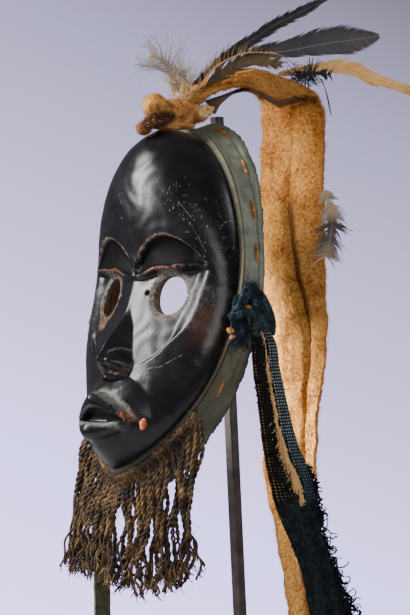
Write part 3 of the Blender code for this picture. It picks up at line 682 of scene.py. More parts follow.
tone = blend(tree, scuff_patch, coat, dust)
tone = blend(tree, times(tree, attribute(tree, "stained"), 0.75), tone, (0.040, 0.014, 0.009))
tone = blend(tree, times(tree, eye_ring, 0.85), tone, ring_tone)
tone = blend(tree, worn_patch, tone, tan)
tone = blend(tree, raw_patch, tone, raw_tone)
# Painted shade: the crescent under the brow is painted darker, as the shade in its scooped hollow
tone = blend(tree, times(tree, crescent, 0.8), tone, (0.0035, 0.0033, 0.0037))
tone = blend(tree, calc(tree, "MAXIMUM", lid_line_mark, times(tree, brow_line_mark, 0.85)), tone, line_tone)
tone = blend(tree, crust, tone, crust_tone)
tone = blend(tree, times(tree, pale, 0.8), tone, (0.17, 0.16, 0.14))
tone = blend(tree, step_up(tree, attribute(tree, "inside"), 0.35, 0.8), tone, inner_tone)
paint(tree, shader, tone)
dullness = scaled(tree, cloud, 0.20, 0.195)
dullness = scaled(tree, crescent, 0.25, dullness)
dullness = scaled(tree, eye_ring, 0.30, dullness)
dullness = scaled(tree, scuff_patch, 0.26, dullness)
dullness = scaled(tree, worn_patch, 0.30, dullness)
dullness = scaled(tree, raw_patch, 0.35, dullness)
dullness = scaled(tree, step_up(tree, attribute(tree, "inside"), 0.35, 0.8), 0.55, dullness)
tree.links.new(add(tree, "Clamp", {"Value": dullness}).outputs[0], shader.inputs["Roughness"])
tree.links.new(scaled(tree, crescent, -0.21, 0.24), shader.inputs["Specular IOR Level"])
relief = scaled(tree, fine, 0.32, scaled(tree, cloud, 0.35, times(tree, broken, 0.30)))
relief = scaled(tree, grain, 0.12, relief)
relief = scaled(tree, calc(tree, "ADD", pale, worn_patch), -0.35, relief)
emboss(tree, shader, 0.35, 0.0006, relief)
face.data.materials.append(polished_wood)
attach(face, "root")
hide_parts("face")


# The rim band: a strip of green-grey hide sewn round the wooden border. Its front edge is
# rolled into two thin pipings, it flares out over the forehead and its back edge is ragged.
BAND_OVERHANG = 0.003
BAND_GAP = 0.0008
BAND_SKIN = 0.0016
BAND_TOP_FLARE = 0.013


def border(angle):
    """Points of the wooden border from the chin at 0 over the top at pi, and its outward directions."""
    def outline(turn):
        height = FACE_HEIGHT * (1.0 - np.cos(turn)) / 2.0
        return np.sign(np.sin(turn)) * half_width(height), height

    x, z = outline(angle)
    next_x, next_z = outline(angle + 0.02)
    last_x, last_z = outline(angle - 0.02)
    length = np.hypot(next_x - last_x, next_z - last_z)
    return x, curve_value(BORDER_CURVE, z), z, (next_z - last_z) / length, (last_x - next_x) / length


def band_point(angle, across, raised):
    """A point of the band: along the border, from the front edge at 0 to the back at 1, and above it."""
    x, y, z, out_x, out_z = border(angle)
    top = smooth_step(0.17, 0.25, z)
    depth = back_plane(z) - y + BAND_OVERHANG * (1.0 - 2.2 * top)
    tucked = 0.0042 * smooth_step(0.04, 0.0, across)
    out = BAND_GAP + BAND_SKIN + across * (0.001 + BAND_TOP_FLARE * top) + raised - tucked
    return x + out_x * out, y + 0.0004 + across * depth, z + out_z * out


def roll(across, middle, half, height):
    return height * np.sqrt(np.clip(1.0 - ((across - middle) / half) ** 2, 0.0, 1.0))


def wander(value, seed, waves=5, first=3.0):
    """A smooth uneven line between about -1 and 1, from a few sine waves."""
    draw = random.Random(seed)
    total = 0.0
    for wave in range(waves):
        total = total + np.sin(value * first * 1.9**wave + draw.uniform(0.0, 6.28)) / (1.0 + 0.55 * wave)
    return total / 2.2


def band_rule(a, b, _):
    angle = np.pi * (a + 1.0)
    across = (b + 1.0) / 2.0
    raised = roll(across, 0.045, 0.045, 0.0014) + roll(across, 0.138, 0.045, 0.0011)
    raised += 0.0005 * wander(angle, 3, 6, 5.0) * smooth_step(0.25, 0.5, across)
    raised += 0.0009 * near(across - 0.80, 0.05) - 0.0005 * near(across - 0.70, 0.03)
    ragged = (smooth_step(0.80, 1.0, across)
        * (0.030 * wander(angle, 7, 7, 11.0) + 0.022 * np.sin(angle * 151.0) * np.sin(angle * 67.0)))
    return band_point(angle, across + ragged, raised)


bm = bmesh.new()
bm.loops.layers.uv.verify()
bmesh.ops.create_grid(bm, x_segments=620, y_segments=34, size=1.0, calc_uvs=True)
bend(bm, band_rule)
bmesh.ops.remove_doubles(bm, verts=bm.verts, dist=0.00012)
bmesh.ops.recalc_face_normals(bm, faces=bm.faces)
bm.faces.ensure_lookup_table()
middle = Vector((0.0, 0.0, FACE_HEIGHT / 2))
if sum(f.normal.dot(f.calc_center_median() - middle) for f in bm.faces) < 0.0:
    bmesh.ops.reverse_faces(bm, faces=bm.faces)

green_hide, tree, shader = finish("green_hide", 0.72, Specular_IOR_Level=0.35)
place = add(tree, "TexCoord").outputs["Object"]
strip = add(tree, "SeparateXYZ", {0: add(tree, "UVMap").outputs["UV"]})
mottle = noise(tree, place, 95.0, 6.0, 0.65)
creases = noise(tree, stretched(tree, place, (1.0, 2.6, 1.0)), 300.0, 5.0, 0.7, 0.6)
hide = colour_ramp(tree, mottle,
    ((0.30, (0.062, 0.074, 0.048)), (0.48, (0.125, 0.140, 0.098)), (0.62, (0.18, 0.185, 0.130)),
        (0.80, (0.26, 0.235, 0.155))))
rubbed = times(tree, step_up(tree, strip.outputs["Y"], 0.22, 0.16),
    step_up(tree, noise(tree, place, 240.0, 4.0), 0.40, 0.58))
hide = blend(tree, times(tree, rubbed, 0.75), hide, (0.150, 0.116, 0.068))
# Painted shade: a dark line painted in the groove where the two pipings meet
painted_groove_shade = add(tree, "MapRange",
    {"Value": calc(tree, "ABSOLUTE", calc(tree, "SUBTRACT", strip.outputs["Y"], 0.092)), "From Min": 0.010,
        "From Max": 0.024, "To Min": 1.0, "To Max": 0.0}).outputs[0]
hide = blend(tree, times(tree, painted_groove_shade, 0.85), hide, (0.020, 0.020, 0.014))
hide = blend(tree, times(tree, step_up(tree, strip.outputs["Y"], 0.90, 1.0), 0.8), hide,
    (0.022, 0.026, 0.020))
low_down = step_up(tree, add(tree, "SeparateXYZ", {0: place}).outputs["Z"], 0.300, 0.225)
hide = blend(tree, times(tree, low_down, 0.90), hide, (0.42, 0.37, 0.30), "MULTIPLY")
low_lip = times(tree, low_down, step_up(tree, strip.outputs["Y"], 0.14, 0.07))
hide = blend(tree, low_lip, hide, (0.34, 0.30, 0.24), "MULTIPLY")
paint(tree, shader, hide)
relief = scaled(tree, creases, 0.6, times(tree, mottle, 0.4))
emboss(tree, shader, 0.55, 0.0008, relief)

rim_band = show("sewn_rim_band", bm, green_hide)
skin = rim_band.modifiers.new("skin", "SOLIDIFY")
skin.thickness = BAND_SKIN
skin.offset = -1.0
settle(rim_band, face_place)
rim_band.data.shade_smooth()
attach(rim_band, "root")
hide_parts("rim_band")


# The stitches: flat thongs of raw tan hide that hold the band to the rim. Each shows for
# the length of a fingertip, then dives through the hide and comes up again further on.
STITCH_PITCH = 0.033
STITCH_LENGTH = 0.0155
STITCH_WIDTH = 0.0021
STITCHES_A_SIDE = 8
FIRST_STITCH = 0.0500
BAND_WIDTH = 0.023


def raw_thong(name):
    made, tree, shader = finish(name, 0.85, Specular_IOR_Level=0.15)
    place = add(tree, "TexCoord").outputs["Object"]
    tone = colour_ramp(tree, noise(tree, place, 380.0, 4.0),
        ((0.3, (0.14, 0.050, 0.012)), (0.55, (0.38, 0.165, 0.042)), (0.75, (0.62, 0.36, 0.13))))
    paint(tree, shader, tone)
    emboss(tree, shader, 0.5, 0.0005, noise(tree, place, 900.0))
    return made


tan_thong = raw_thong("raw_tan_thong")
turns = np.linspace(0.0, math.pi, 400)
border_x, border_y, border_z, _, _ = border(turns)
walked = np.concatenate([[0.0],
    np.cumsum(np.sqrt(np.diff(border_x) ** 2 + np.diff(border_y) ** 2 + np.diff(border_z) ** 2))])
bm = bmesh.new()
draw = random.Random(11)
for side in (1, -1):
    for number in range(STITCHES_A_SIDE):
        start = FIRST_STITCH + STITCH_PITCH * number + draw.uniform(-0.002, 0.002)
        made = bmesh.ops.create_uvsphere(bm, u_segments=14, v_segments=9, radius=1.0)["verts"]
        slant = draw.uniform(-0.06, 0.02)
        level = 0.64 if number > 2 else 0.34 + 0.10 * number
        for vert in made:
            along, over, up = vert.co.z, vert.co.x, vert.co.y
            square = max(math.hypot(over, up), 0.05) ** -0.6
            over, up = over * square, up * square
            angle = float(np.interp(start + STITCH_LENGTH * (0.5 + 0.5 * along), walked, turns))
            across = level + slant * along + over * STITCH_WIDTH / 2 / BAND_WIDTH * (1.0 - 0.3 * abs(along))
            height = 0.0004 + 0.0010 * up * (1.0 - along * along) ** 0.5 - 0.0008 * abs(along) ** 4
            point = band_point(np.array(angle if side > 0 else 2.0 * math.pi - angle), across, height)
            vert.co = [float(value) for value in point]
bmesh.ops.recalc_face_normals(bm, faces=bm.faces)
stitches = show("hide_stitches", bm, tan_thong)
stitches.data.transform(face_place)
stitches.data.shade_smooth()
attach(stitches, "root")


# The bead at the mouth's left corner: a stub of orange-red wood or clay pushed into the
# lip, worn round.
PEG_RADII = (0.0026, 0.0026, 0.0042)
low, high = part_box("mouth_peg")
peg_middle = (low + high) / 2
bm = bmesh.new()
bmesh.ops.create_uvsphere(bm, u_segments=32, v_segments=24, radius=1.0)
bmesh.ops.scale(bm, vec=PEG_RADII, verts=bm.verts)
bend(bm, lambda x, y,
    z: (x * (1.0 + 0.12 * np.sin(z * 900.0)), y * (1.0 + 0.10 * np.sin(z * 1300.0 + 1.0)), z))
bmesh.ops.rotate(bm, matrix=Matrix.Rotation(-FACE_LEAN, 3, "X"), verts=bm.verts)
bmesh.ops.translate(bm, vec=peg_middle, verts=bm.verts)
red_stub, tree, shader = finish("worn_red_stub", 0.45)
place = add(tree, "TexCoord").outputs["Object"]
tone = colour_ramp(tree, noise(tree, place, 500.0, 4.0),
    ((0.32, (0.09, 0.020, 0.008)), (0.5, (0.50, 0.11, 0.035)), (0.72, (0.72, 0.26, 0.10))))
paint(tree, shader, tone)
emboss(tree, shader, 0.4, 0.0004, noise(tree, place, 700.0))
peg = show("red_stub", bm, red_stub)
peg.data.shade_smooth()
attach(peg, "root")
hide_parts("mouth_peg")


# The top knot: the strap's soft tan hide end, tied in a lump over the crown. It has a round
# head, a dark bound neck with a small end ball, a roll across the crown and a frayed end.
def stretched_ball(bm, centre, radii, turn=None):
    made = bmesh.ops.create_icosphere(bm, subdivisions=4, radius=1.0)["verts"]
    bmesh.ops.scale(bm, vec=radii, verts=made)
    if turn is not None:
        bmesh.ops.rotate(bm, matrix=turn, verts=made)
    bmesh.ops.translate(bm, vec=centre, verts=made)


def melt(piece, voxel, smoothing):
    """Join the closed shapes of a piece into one skin and soften it."""
    remesh = piece.modifiers.new("one_skin", "REMESH")
    remesh.mode = "VOXEL"
    remesh.voxel_size = voxel
    remesh.use_smooth_shade = True
    smooth = piece.modifiers.new("soften", "SMOOTH")
    smooth.factor = 0.5
    smooth.iterations = smoothing
    settle(piece)


def roughen(mesh, size, scale, seed=0.0):
    """Push every point along its normal by smooth noise, for a handled, uneven surface."""
    normals = [vertex.normal.copy() for vertex in mesh.vertices]
    for vertex, normal in zip(mesh.vertices, normals):
        place = vertex.co * scale + Vector((seed, seed, seed))
        vertex.co += normal * (size * (field.noise(place) + 0.5 * field.noise(place * 2.3)))


def threads(name, paths, thickness, material=None, taper=0.3, sides=1):
    """Thin threads in one piece, each a tube along a path; taper is its end's share of the thickness."""
    curve = bpy.data.curves.new(name, "CURVE")
    curve.dimensions = "3D"
    curve.bevel_depth = thickness / 2
    curve.bevel_resolution = sides
    curve.use_fill_caps = True
    for path in paths:
        spline = curve.splines.new("POLY")
        spline.points.add(len(path) - 1)
        for index, (point, place) in enumerate(zip(spline.points, path)):
            point.co = (*place, 1.0)
            point.radius = 1.0 - (1.0 - taper) * index / (len(path) - 1)
    draft = show(name + "_draft", curve)
    bpy.context.view_layer.update()
    mesh = bpy.data.meshes.new_from_object(draft.evaluated_get(bpy.context.evaluated_depsgraph_get()))
    bpy.data.objects.remove(draft, do_unlink=True)
    mesh.materials.clear()
    mesh.shade_smooth()
    return show(name, mesh, *([material] if material else []))


def add_folds(bm, paths, radius):
    """Put soft folds of cloth into a bmesh, as tubes along smooth curves through a few points."""
    routes = []
    for path in paths:
        places = [(index / (len(path) - 1), *point) for index, point in enumerate(path)]
        routes.append([curve_value(places, step / 30) for step in range(31)])
    draft = threads("folds", routes, 2.0 * radius, None, 0.85, 3)
    bm.from_mesh(draft.data)
    bpy.data.objects.remove(draft, do_unlink=True)


def any_way(draw):
    return Vector((draw.gauss(0, 1), draw.gauss(0, 1), draw.gauss(0, 1)))


def nap(mesh, count, length, draw, among=None):
    """Short paths that stand up from a mesh, or from some of its points, like the nap of suede."""
    paths = []
    among = among or range(len(mesh.vertices))
    for _ in range(count):
        vertex = mesh.vertices[among[draw.randrange(len(among))]]
        root = vertex.co
        lean = any_way(draw) * 0.7
        reach = length * draw.uniform(0.5, 1.4)
        first = (vertex.normal + lean * 0.6).normalized()
        second = (first + lean * 0.8).normalized()
        paths.append([root - vertex.normal * 0.0003, root + first * reach * 0.5,
            root + (first + second) * reach * 0.5])
    return paths


suede, tree, shader = finish("tan_suede", 0.95, Specular_IOR_Level=0.12)
place = add(tree, "TexCoord").outputs["Object"]
patch = noise(tree, place, 120.0, 5.0, 0.65)
fibres = noise(tree, place, 900.0, 4.0, 0.7)
tone = colour_ramp(tree, scaled(tree, patch, 0.65, times(tree, fibres, 0.35)),
                   ((0.36, (0.105, 0.038, 0.010)), (0.46, (0.33, 0.140, 0.036)),
                       (0.55, (0.55, 0.270, 0.082)), (0.67, (0.80, 0.490, 0.20))))
grime = attribute(tree, "grime")
tone = blend(tree, step_up(tree, scaled(tree, grime, 1.3, scaled(tree, patch, 0.8, -0.55)), 0.05, 0.7),
    tone, (0.040, 0.018, 0.012))
tone = blend(tree, step_up(tree, attribute(tree, "cream"), 0.2, 0.9), tone, (0.74, 0.50, 0.24))
paint(tree, shader, tone)
relief = scaled(tree, fibres, 0.7, times(tree, patch, 0.5))
emboss(tree, shader, 0.8, 0.0009, relief)

bm = bmesh.new()
knot_parts = (
    ((0.0010, -0.0365, 0.4243), (0.0084, 0.0086, 0.0085), 0.0),
    ((0.0030, -0.0225, 0.4208), (0.0092, 0.0125, 0.0092), 0.25),
    ((0.0040, -0.0110, 0.4225), (0.0095, 0.0125, 0.0088), 0.45),
    ((0.0035, -0.0015, 0.4310), (0.0098, 0.0135, 0.0042), 0.55),
    ((0.0015, -0.0225, 0.4118), (0.0066, 0.0240, 0.0040), 0.05),
    ((0.0000, -0.0455, 0.4075), (0.0054, 0.0058, 0.0050), 0.0),
    ((0.0005, -0.0415, 0.4120), (0.0034, 0.0068, 0.0036), 0.30),
    ((0.0020, 0.0015, 0.4190), (0.0085, 0.0100, 0.0042), 0.20),
)
for centre, radii, tip in knot_parts:
    stretched_ball(bm, centre, radii, Matrix.Rotation(tip, 3, "X"))
wraps = []
for number in range(3):
    turn = Matrix.Rotation(0.9 - 0.25 * number, 3, "X")
    middle = Vector((0.0005, -0.0385 + 0.0035 * number, 0.4130 + 0.0012 * number))
    wraps.append([middle + turn @ Vector((0.0052 * math.cos(angle), 0.0, 0.0046 * math.sin(angle)))
                  for angle in np.linspace(0.0, 2.0 * math.pi, 12)])
add_folds(bm, wraps, 0.0011)
knot = show("tied_hide_knot", bm, suede)
melt(knot, 0.00045, 4)
x, y, z = coordinates(knot.data).T
from_neck = np.hypot(y + 0.0370, z - 0.4120)
gathers = (np.sin(17.0 * np.arctan2(z - 0.4120, y + 0.0370) + 60.0 * x)
    * smooth_step(0.004, 0.009, from_neck) * smooth_step(0.042, 0.022, from_neck))
normals = np.array([vertex.normal for vertex in knot.data.vertices])
moved = coordinates(knot.data) + normals * (0.00045 * gathers * smooth_step(-0.034, -0.027, y))[:, None]
knot.data.vertices.foreach_set("co", moved.astype(np.float32).ravel())
roughen(knot.data, 0.00035, 330.0)
roughen(knot.data, 0.00022, 1100.0)
neck = near(np.hypot(y + 0.0375, z - 0.4135), 0.0062) + 0.7 * near(np.hypot(y + 0.0290, z - 0.4155), 0.0050)
neck += 0.8 * near(np.hypot(y + 0.0455, z - 0.4075), 0.0075)
mark(knot.data, "grime", np.clip(neck, 0.0, 1.0))
mark(knot.data, "cream", 0.0 * x)
knot.data.shade_smooth()
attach(knot, "root")
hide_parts("top_knot")

# The knot's torn pale end, which sticks out over the crown
bm = bmesh.new()
add_folds(bm, [[(0.0078, -0.0010, 0.4190), (0.0086, 0.0000, 0.4225), (0.0080, 0.0010, 0.4250)],
               [(0.0080, 0.0000, 0.4240), (0.0082, 0.0060, 0.4262), (0.0075, 0.0140, 0.4255)],
               [(0.0080, 0.0008, 0.4205), (0.0082, 0.0065, 0.4225), (0.0070, 0.0125, 0.4222)],
               [(0.0088, -0.0030, 0.4215), (0.0096, 0.0020, 0.4192), (0.0092, 0.0065, 0.4200)]], 0.0019)
torn_end = show("torn_hide_end", bm, suede)
melt(torn_end, 0.0005, 2)
roughen(torn_end.data, 0.0011, 420.0, 3.0)
mark(torn_end.data, "grime", 0.0 * coordinates(torn_end.data)[:, 0])
mark(torn_end.data, "cream", 1.0 + 0.0 * coordinates(torn_end.data)[:, 0])
torn_end.data.shade_smooth()
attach(torn_end, "root")
draw = random.Random(21)
knot_hairs = (nap(knot.data, 4200, 0.0019, draw)
    + nap(torn_end.data, 260, 0.0024, draw))
knot_nap = threads("knot_nap", knot_hairs, 0.00016, suede, 0.4, 0)
mark(knot_nap.data, "grime", 0.0 * coordinates(knot_nap.data)[:, 0])
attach(knot_nap, "root")


# The tan strap: a broad band of thick napped cotton, brushed to a felt on both faces. It rises
# from the top knot over the steel plate and hangs behind in a long pleat, its edges frayed.
STRAP_THICKNESS = 0.0024
STRAP_STATIONS = (
    (0.000, (-0.008, -0.006, 0.429), (0.002, -0.008, 0.431), (0.011, -0.012, 0.426)),
    (0.025, (-0.020, 0.012, 0.441), (0.004, 0.008, 0.4405), (0.018, -0.004, 0.432)),
    (0.055, (-0.028, 0.036, 0.450), (0.004, 0.034, 0.4525), (0.0225, 0.018, 0.440)),
    (0.085, (-0.032, 0.060, 0.4535), (0.004, 0.058, 0.458), (0.0245, 0.042, 0.4405)),
    (0.110, (-0.033, 0.080, 0.4525), (0.004, 0.079, 0.457), (0.0250, 0.064, 0.436)),
    (0.135, (-0.034, 0.096, 0.4485), (0.005, 0.102, 0.4515), (0.0245, 0.086, 0.441)),
    (0.152, (-0.034, 0.103, 0.4430), (0.003, 0.110, 0.4450), (0.0235, 0.104, 0.4415)),
    (0.165, (-0.034, 0.1045, 0.430), (-0.003, 0.1115, 0.4330), (0.0230, 0.1115, 0.4330)),
    (0.200, (-0.034, 0.1035, 0.395), (-0.003, 0.1095, 0.395), (0.0235, 0.1115, 0.395)),
    (0.275, (-0.034, 0.1035, 0.320), (-0.002, 0.1060, 0.320), (0.0255, 0.1110, 0.320)),
    (0.339, (-0.033, 0.1030, 0.256), (-0.001, 0.1060, 0.256), (0.0260, 0.1130, 0.256)),
    (0.392, (-0.030, 0.1005, 0.203), (-0.003, 0.1090, 0.203), (0.0210, 0.1075, 0.203)),
    (0.434, (-0.024, 0.0960, 0.161), (0.000, 0.1070, 0.161), (0.0190, 0.1076, 0.161)),
    (0.480, (-0.014, 0.0990, 0.115), (0.004, 0.1090, 0.115), (0.0190, 0.1080, 0.115)),
    (0.509, (-0.011, 0.1030, 0.086), (0.006, 0.1120, 0.086), (0.0170, 0.1090, 0.086)),
    (0.545, (-0.008, 0.1080, 0.050), (0.008, 0.1150, 0.050), (0.0190, 0.1120, 0.050)),
)
# Distance down the strap, where the pleat's crease lies across it, and how deep it is
PLEAT = ((0.0, 0.0, 0.0), (0.150, 0.0, 0.0), (0.185, -0.06, 0.0010), (0.228, -0.18, 0.0035),
    (0.281, 0.09, 0.0060),
         (0.327, 0.47, 0.0052), (0.341, 0.50, 0.0040), (0.364, 0.46, 0.0028), (0.394, 0.44, 0.0022),
         (0.434, 0.35, 0.0022), (0.480, 0.10, 0.0036), (0.509, 0.05, 0.0050), (0.545, 0.0, 0.0040))


def strap_points(stations, across, along):
    """Points of a strap at across from -1 to 1 and along from 0 to 1, with the distance run."""
    flat = [(station[0], *station[1], *station[2], *station[3]) for station in stations]
    run = along * flat[-1][0]
    read = curve_value(flat, run)
    far, middle, close = read[..., 0:3], read[..., 3:6], read[..., 6:9]
    u = across[..., None]
    return middle + u * (close - far) / 2.0 + u * u * ((close + far) / 2.0 - middle), run


def woven_strip(name, stations, columns, rows, thickness, shape, material):
    """A strap as a closed sheet with UVs; shape moves its points by what it finds across and along."""
    bm = bmesh.new()
    bm.loops.layers.uv.verify()
    bmesh.ops.create_grid(bm, x_segments=columns, y_segments=rows, size=1.0, calc_uvs=True)

    def rule(a, b, _):
        points, run = strap_points(stations, a, (b + 1.0) / 2.0)
        return (points + shape(a, run)).T

    bend(bm, rule)
    bmesh.ops.recalc_face_normals(bm, faces=bm.faces)
    strip = show(name, bm, material)
    skin = strip.modifiers.new("thickness", "SOLIDIFY")
    skin.thickness = thickness
    skin.offset = 0.0
    settle(strip)
    strip.data.shade_smooth()
    return strip


def strap_shape(a, run):
    crease, depth = curve_value(PLEAT, run).T
    left_bulge = smooth_step(-1.05, crease - 0.45, a) * smooth_step(crease + 0.02, crease - 0.16, a)
    right_lift = smooth_step(crease + 0.02, crease + 0.06, a) * smooth_step(1.3, crease + 0.1, a)
    forward = depth * (left_bulge + 0.45 * right_lift - 0.45 * near(a - crease, 0.10))
    lumpy = 0.0006 * wander(a, 31, 4, 3.0) * np.sin(run * 60.0) + 0.0005 * np.sin(run * 210.0 + 4.0 * a)
    ragged = 0.0007 * smooth_step(0.93, 1.0, np.abs(a)) * np.sign(a) * wander(run, 33, 6, 150.0)
    lift = 0.0008 * smooth_step(0.16, 0.10, run) * wander(run + 0.01 * a, 35, 4, 60.0)
    return np.stack([ragged, -forward + lumpy * smooth_step(0.15, 0.2, run), lift], -1)


napped_cotton, tree, shader = finish("napped_cotton", 0.97, Specular_IOR_Level=0.10)
place = add(tree, "TexCoord").outputs["Object"]
strip_place = add(tree, "SeparateXYZ", {0: add(tree, "UVMap").outputs["UV"]})
down = strip_place.outputs["Y"]
stain = noise(tree, place, 42.0, 5.0, 0.6)
curd = noise(tree, place, 480.0, 5.0, 0.75, 0.4)
specks = noise(tree, place, 700.0, 3.0, 0.6)
weave = add(tree, "Math", {0: times(tree, calc(tree, "SINE", times(tree, strip_place.outputs["X"], 300.0)),
                                   calc(tree, "SINE", times(tree, down, 2700.0)))},
                                   operation="ABSOLUTE").outputs[0]
tone = colour_ramp(tree, scaled(tree, curd, 0.70, times(tree, stain, 0.30)), (
    (0.37, (0.17, 0.055, 0.009)), (0.45, (0.38, 0.160, 0.034)), (0.53, (0.56, 0.275, 0.068)),
    (0.64, (0.76, 0.455, 0.155))))
# Painted shade: the strap is painted darker from 0.25 m up, over the arch, where less light falls
painted_shade_up_top = step_up(tree, add(tree, "SeparateXYZ", {0: place}).outputs["Z"], 0.25, 0.40)
tone = blend(tree, painted_shade_up_top, tone, (0.72, 0.64, 0.58), "MULTIPLY")
tone = blend(tree, times(tree, step_up(tree, stain, 0.48, 0.32), 0.5), tone, (0.72, 0.58, 0.44), "MULTIPLY")
tone = blend(tree, times(tree, step_up(tree, specks, 0.37, 0.31), 0.8), tone, (0.12, 0.045, 0.015))
edge_share = calc(tree, "ABSOLUTE", scaled(tree, strip_place.outputs["X"], 2.0, -1.0))
tone = blend(tree, times(tree, step_up(tree, edge_share, 0.88, 0.99), 0.35), tone, (0.40, 0.17, 0.045))
# Painted shade: the strip beside the pleat's crease is painted dark brown, as the fold's shadow
tone = blend(tree, times(tree, step_up(tree, attribute(tree, "painted_crease_shade"), 0.05, 0.95), 0.86), tone,
    (0.060, 0.020, 0.005))
paint(tree, shader, tone)
relief = scaled(tree, curd, 1.0, times(tree, specks, 0.4))
relief = scaled(tree, weave, times(tree, attribute(tree, "painted_crease_shade"), 0.5), relief)
emboss(tree, shader, 0.9, 0.0012, relief)

strap = woven_strip("napped_strap", STRAP_STATIONS, 64, 620, STRAP_THICKNESS,
    strap_shape, napped_cotton)
roughen(strap.data, 0.0006, 430.0, 5.0)


def strip_places(piece):
    """For every point of a strip, its place across from -1 to 1 and along from 0 to 1, from its UVs."""
    mesh = piece.data
    uv = np.zeros(len(mesh.loops) * 2, dtype=np.float32)
    mesh.uv_layers[0].data.foreach_get("uv", uv)
    corner = np.zeros(len(mesh.loops), dtype=np.int32)
    mesh.loops.foreach_get("vertex_index", corner)
    found = np.zeros((len(mesh.vertices), 2))
    found[corner] = uv.reshape(-1, 2)
    return found[:, 0] * 2.0 - 1.0, found[:, 1]


a, b = strip_places(strap)
crease, depth = curve_value(PLEAT, b * STRAP_STATIONS[-1][0]).T
# Painted shade: where the pleat's shadow is painted, right of its crease and down the deep part of the fold
painted_crease_shade = smooth_step(crease - 0.04, crease + 0.02, a) * smooth_step(crease + 0.34, crease + 0.10, a)
painted_crease_shade = painted_crease_shade * smooth_step(0.36, 0.46, b) * smooth_step(0.63, 0.55, b)
painted_crease_shade = np.maximum(painted_crease_shade, 0.55 * near(a - crease - 0.02, 0.07) * smooth_step(0.0025, 0.0050, depth))
mark(strap.data, "painted_crease_shade", painted_crease_shade)
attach(strap, "root")
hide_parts("tan_strap")

draw = random.Random(41)
edge_points = [int(index) for index in np.nonzero(np.abs(a) > 0.965)[0]]
fuzz_count = 3600
strap_fuzz = threads("strap_edge_fuzz", nap(strap.data, fuzz_count, 0.0026, draw, edge_points), 0.00016,
    napped_cotton, 0.4, 0)
strap_nap = threads("strap_nap", nap(strap.data, 2 * fuzz_count, 0.0017, draw), 0.00022, napped_cotton,
    0.4, 0)
for piece in (strap_fuzz, strap_nap):
    mark(piece.data, "painted_crease_shade", 0.0 * coordinates(piece.data)[:, 0])
    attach(piece, "root")


# The steel plate: a strip bent into an arch on top of the bar, brown-black and hand finished.
PLATE_STATIONS = (
    (0.000, (-0.003, 0.0250, 0.4240), (0.004, 0.0140, 0.4270), (0.010, 0.0040, 0.4300)),
    (0.022, (-0.012, 0.0410, 0.4350), (0.003, 0.0330, 0.4385), (0.015, 0.0230, 0.4365)),
    (0.042, (-0.012, 0.0570, 0.4445), (0.003, 0.0550, 0.4460), (0.0155, 0.0460, 0.4420)),
    (0.062, (-0.012, 0.0770, 0.4450), (0.003, 0.0770, 0.4460), (0.0155, 0.0720, 0.4415)),
    (0.078, (-0.012, 0.0880, 0.4410), (0.003, 0.0900, 0.4420), (0.0155, 0.0890, 0.4405)),
    (0.090, (-0.0115, 0.1000, 0.4370), (0.003, 0.1005, 0.4385), (0.0155, 0.1010, 0.4395)),
)
dark_steel, tree, shader = finish("dark_steel", 0.5, Metallic=0.55, Specular_IOR_Level=0.4)
place = add(tree, "TexCoord").outputs["Object"]
patina = noise(tree, place, 70.0, 6.0, 0.65)
brushed = noise(tree, stretched(tree, place, (900.0, 900.0, 40.0)), 1.0, 3.0)
tone = colour_ramp(tree, scaled(tree, patina, 0.7, times(tree, brushed, 0.3)),
                   ((0.32, (0.020, 0.014, 0.012)), (0.50, (0.055, 0.042, 0.038)),
                       (0.68, (0.100, 0.078, 0.068))))
height = add(tree, "SeparateXYZ", {0: place}).outputs["Z"]
# Painted shade: the bar's top, between the band and the plate, is painted near black as shadow
painted_shade_bar_top = times(tree, step_up(tree, height, 0.396, 0.401), step_up(tree, height, 0.4242, 0.4232))
tone = blend(tree, painted_shade_bar_top, tone, (0.22, 0.22, 0.20), "MULTIPLY")
paint(tree, shader, tone)
tree.links.new(scaled(tree, patina, 0.3, 0.35), shader.inputs["Roughness"])
emboss(tree, shader, 0.25, 0.0004, brushed)
plate = woven_strip("bent_plate", PLATE_STATIONS, 16, 60, 0.0016, lambda a, run: np.zeros((len(a), 3)),
    dark_steel)
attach(plate, "root")
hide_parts("strap_plate")
for node in ("stand_bar", "stand_base", "stand_hook"):
    for holder in bpy.data.objects[node].material_slots:
        holder.material = dark_steel


# The ear ties: on each side the strap's cloth passes through the band and is knotted on itself.
# A thick fold loops round, the gathered end fans out above it, and threads fray off below.
def curl(root, direction, length, draw, twist=1.0, steps=9):
    """A path for a frayed thread that leaves a root in a direction and curls at random."""
    heading = Vector(direction).normalized()
    place = Vector(root)
    path = [place.copy()]
    turn = any_way(draw) * 0.35 * twist
    for _ in range(steps):
        turn += any_way(draw) * 0.22 * twist
        heading = (heading + turn.cross(heading) * 0.6 + Vector((0.0, 0.0, -0.05))).normalized()
        place = place + heading * (length / steps)
        path.append(place.copy())
    return path


def indigo_material(name, dark, mid, light):
    made, tree, shader = finish(name, 0.92, Specular_IOR_Level=0.12)
    place = add(tree, "TexCoord").outputs["Object"]
    threadwork = noise(tree, stretched(tree, place, (400.0, 900.0, 900.0)), 1.0, 4.0, 0.6)
    clouds = noise(tree, place, 150.0, 4.0)
    tone = colour_ramp(tree, scaled(tree, threadwork, 0.5, times(tree, clouds, 0.5)),
                       ((0.36, dark), (0.52, mid), (0.70, light)))
    paint(tree, shader, tone)
    emboss(tree, shader, 0.7, 0.0007, threadwork)
    return made


indigo = indigo_material("indigo_cotton", (0.0025, 0.0036, 0.0050), (0.0115, 0.0205, 0.0275),
    (0.080, 0.120, 0.145))
olive = indigo_material("olive_hide", (0.036, 0.039, 0.022), (0.098, 0.103, 0.058), (0.18, 0.185, 0.110))
EAR_OUT = 0.0850
RIGHT_KNOT_REAR = 0.0165


def ear_point(side, y, z, out=0.0):
    return Vector((side * (EAR_OUT + out), y + (RIGHT_KNOT_REAR if side < 0 else 0.0), z))


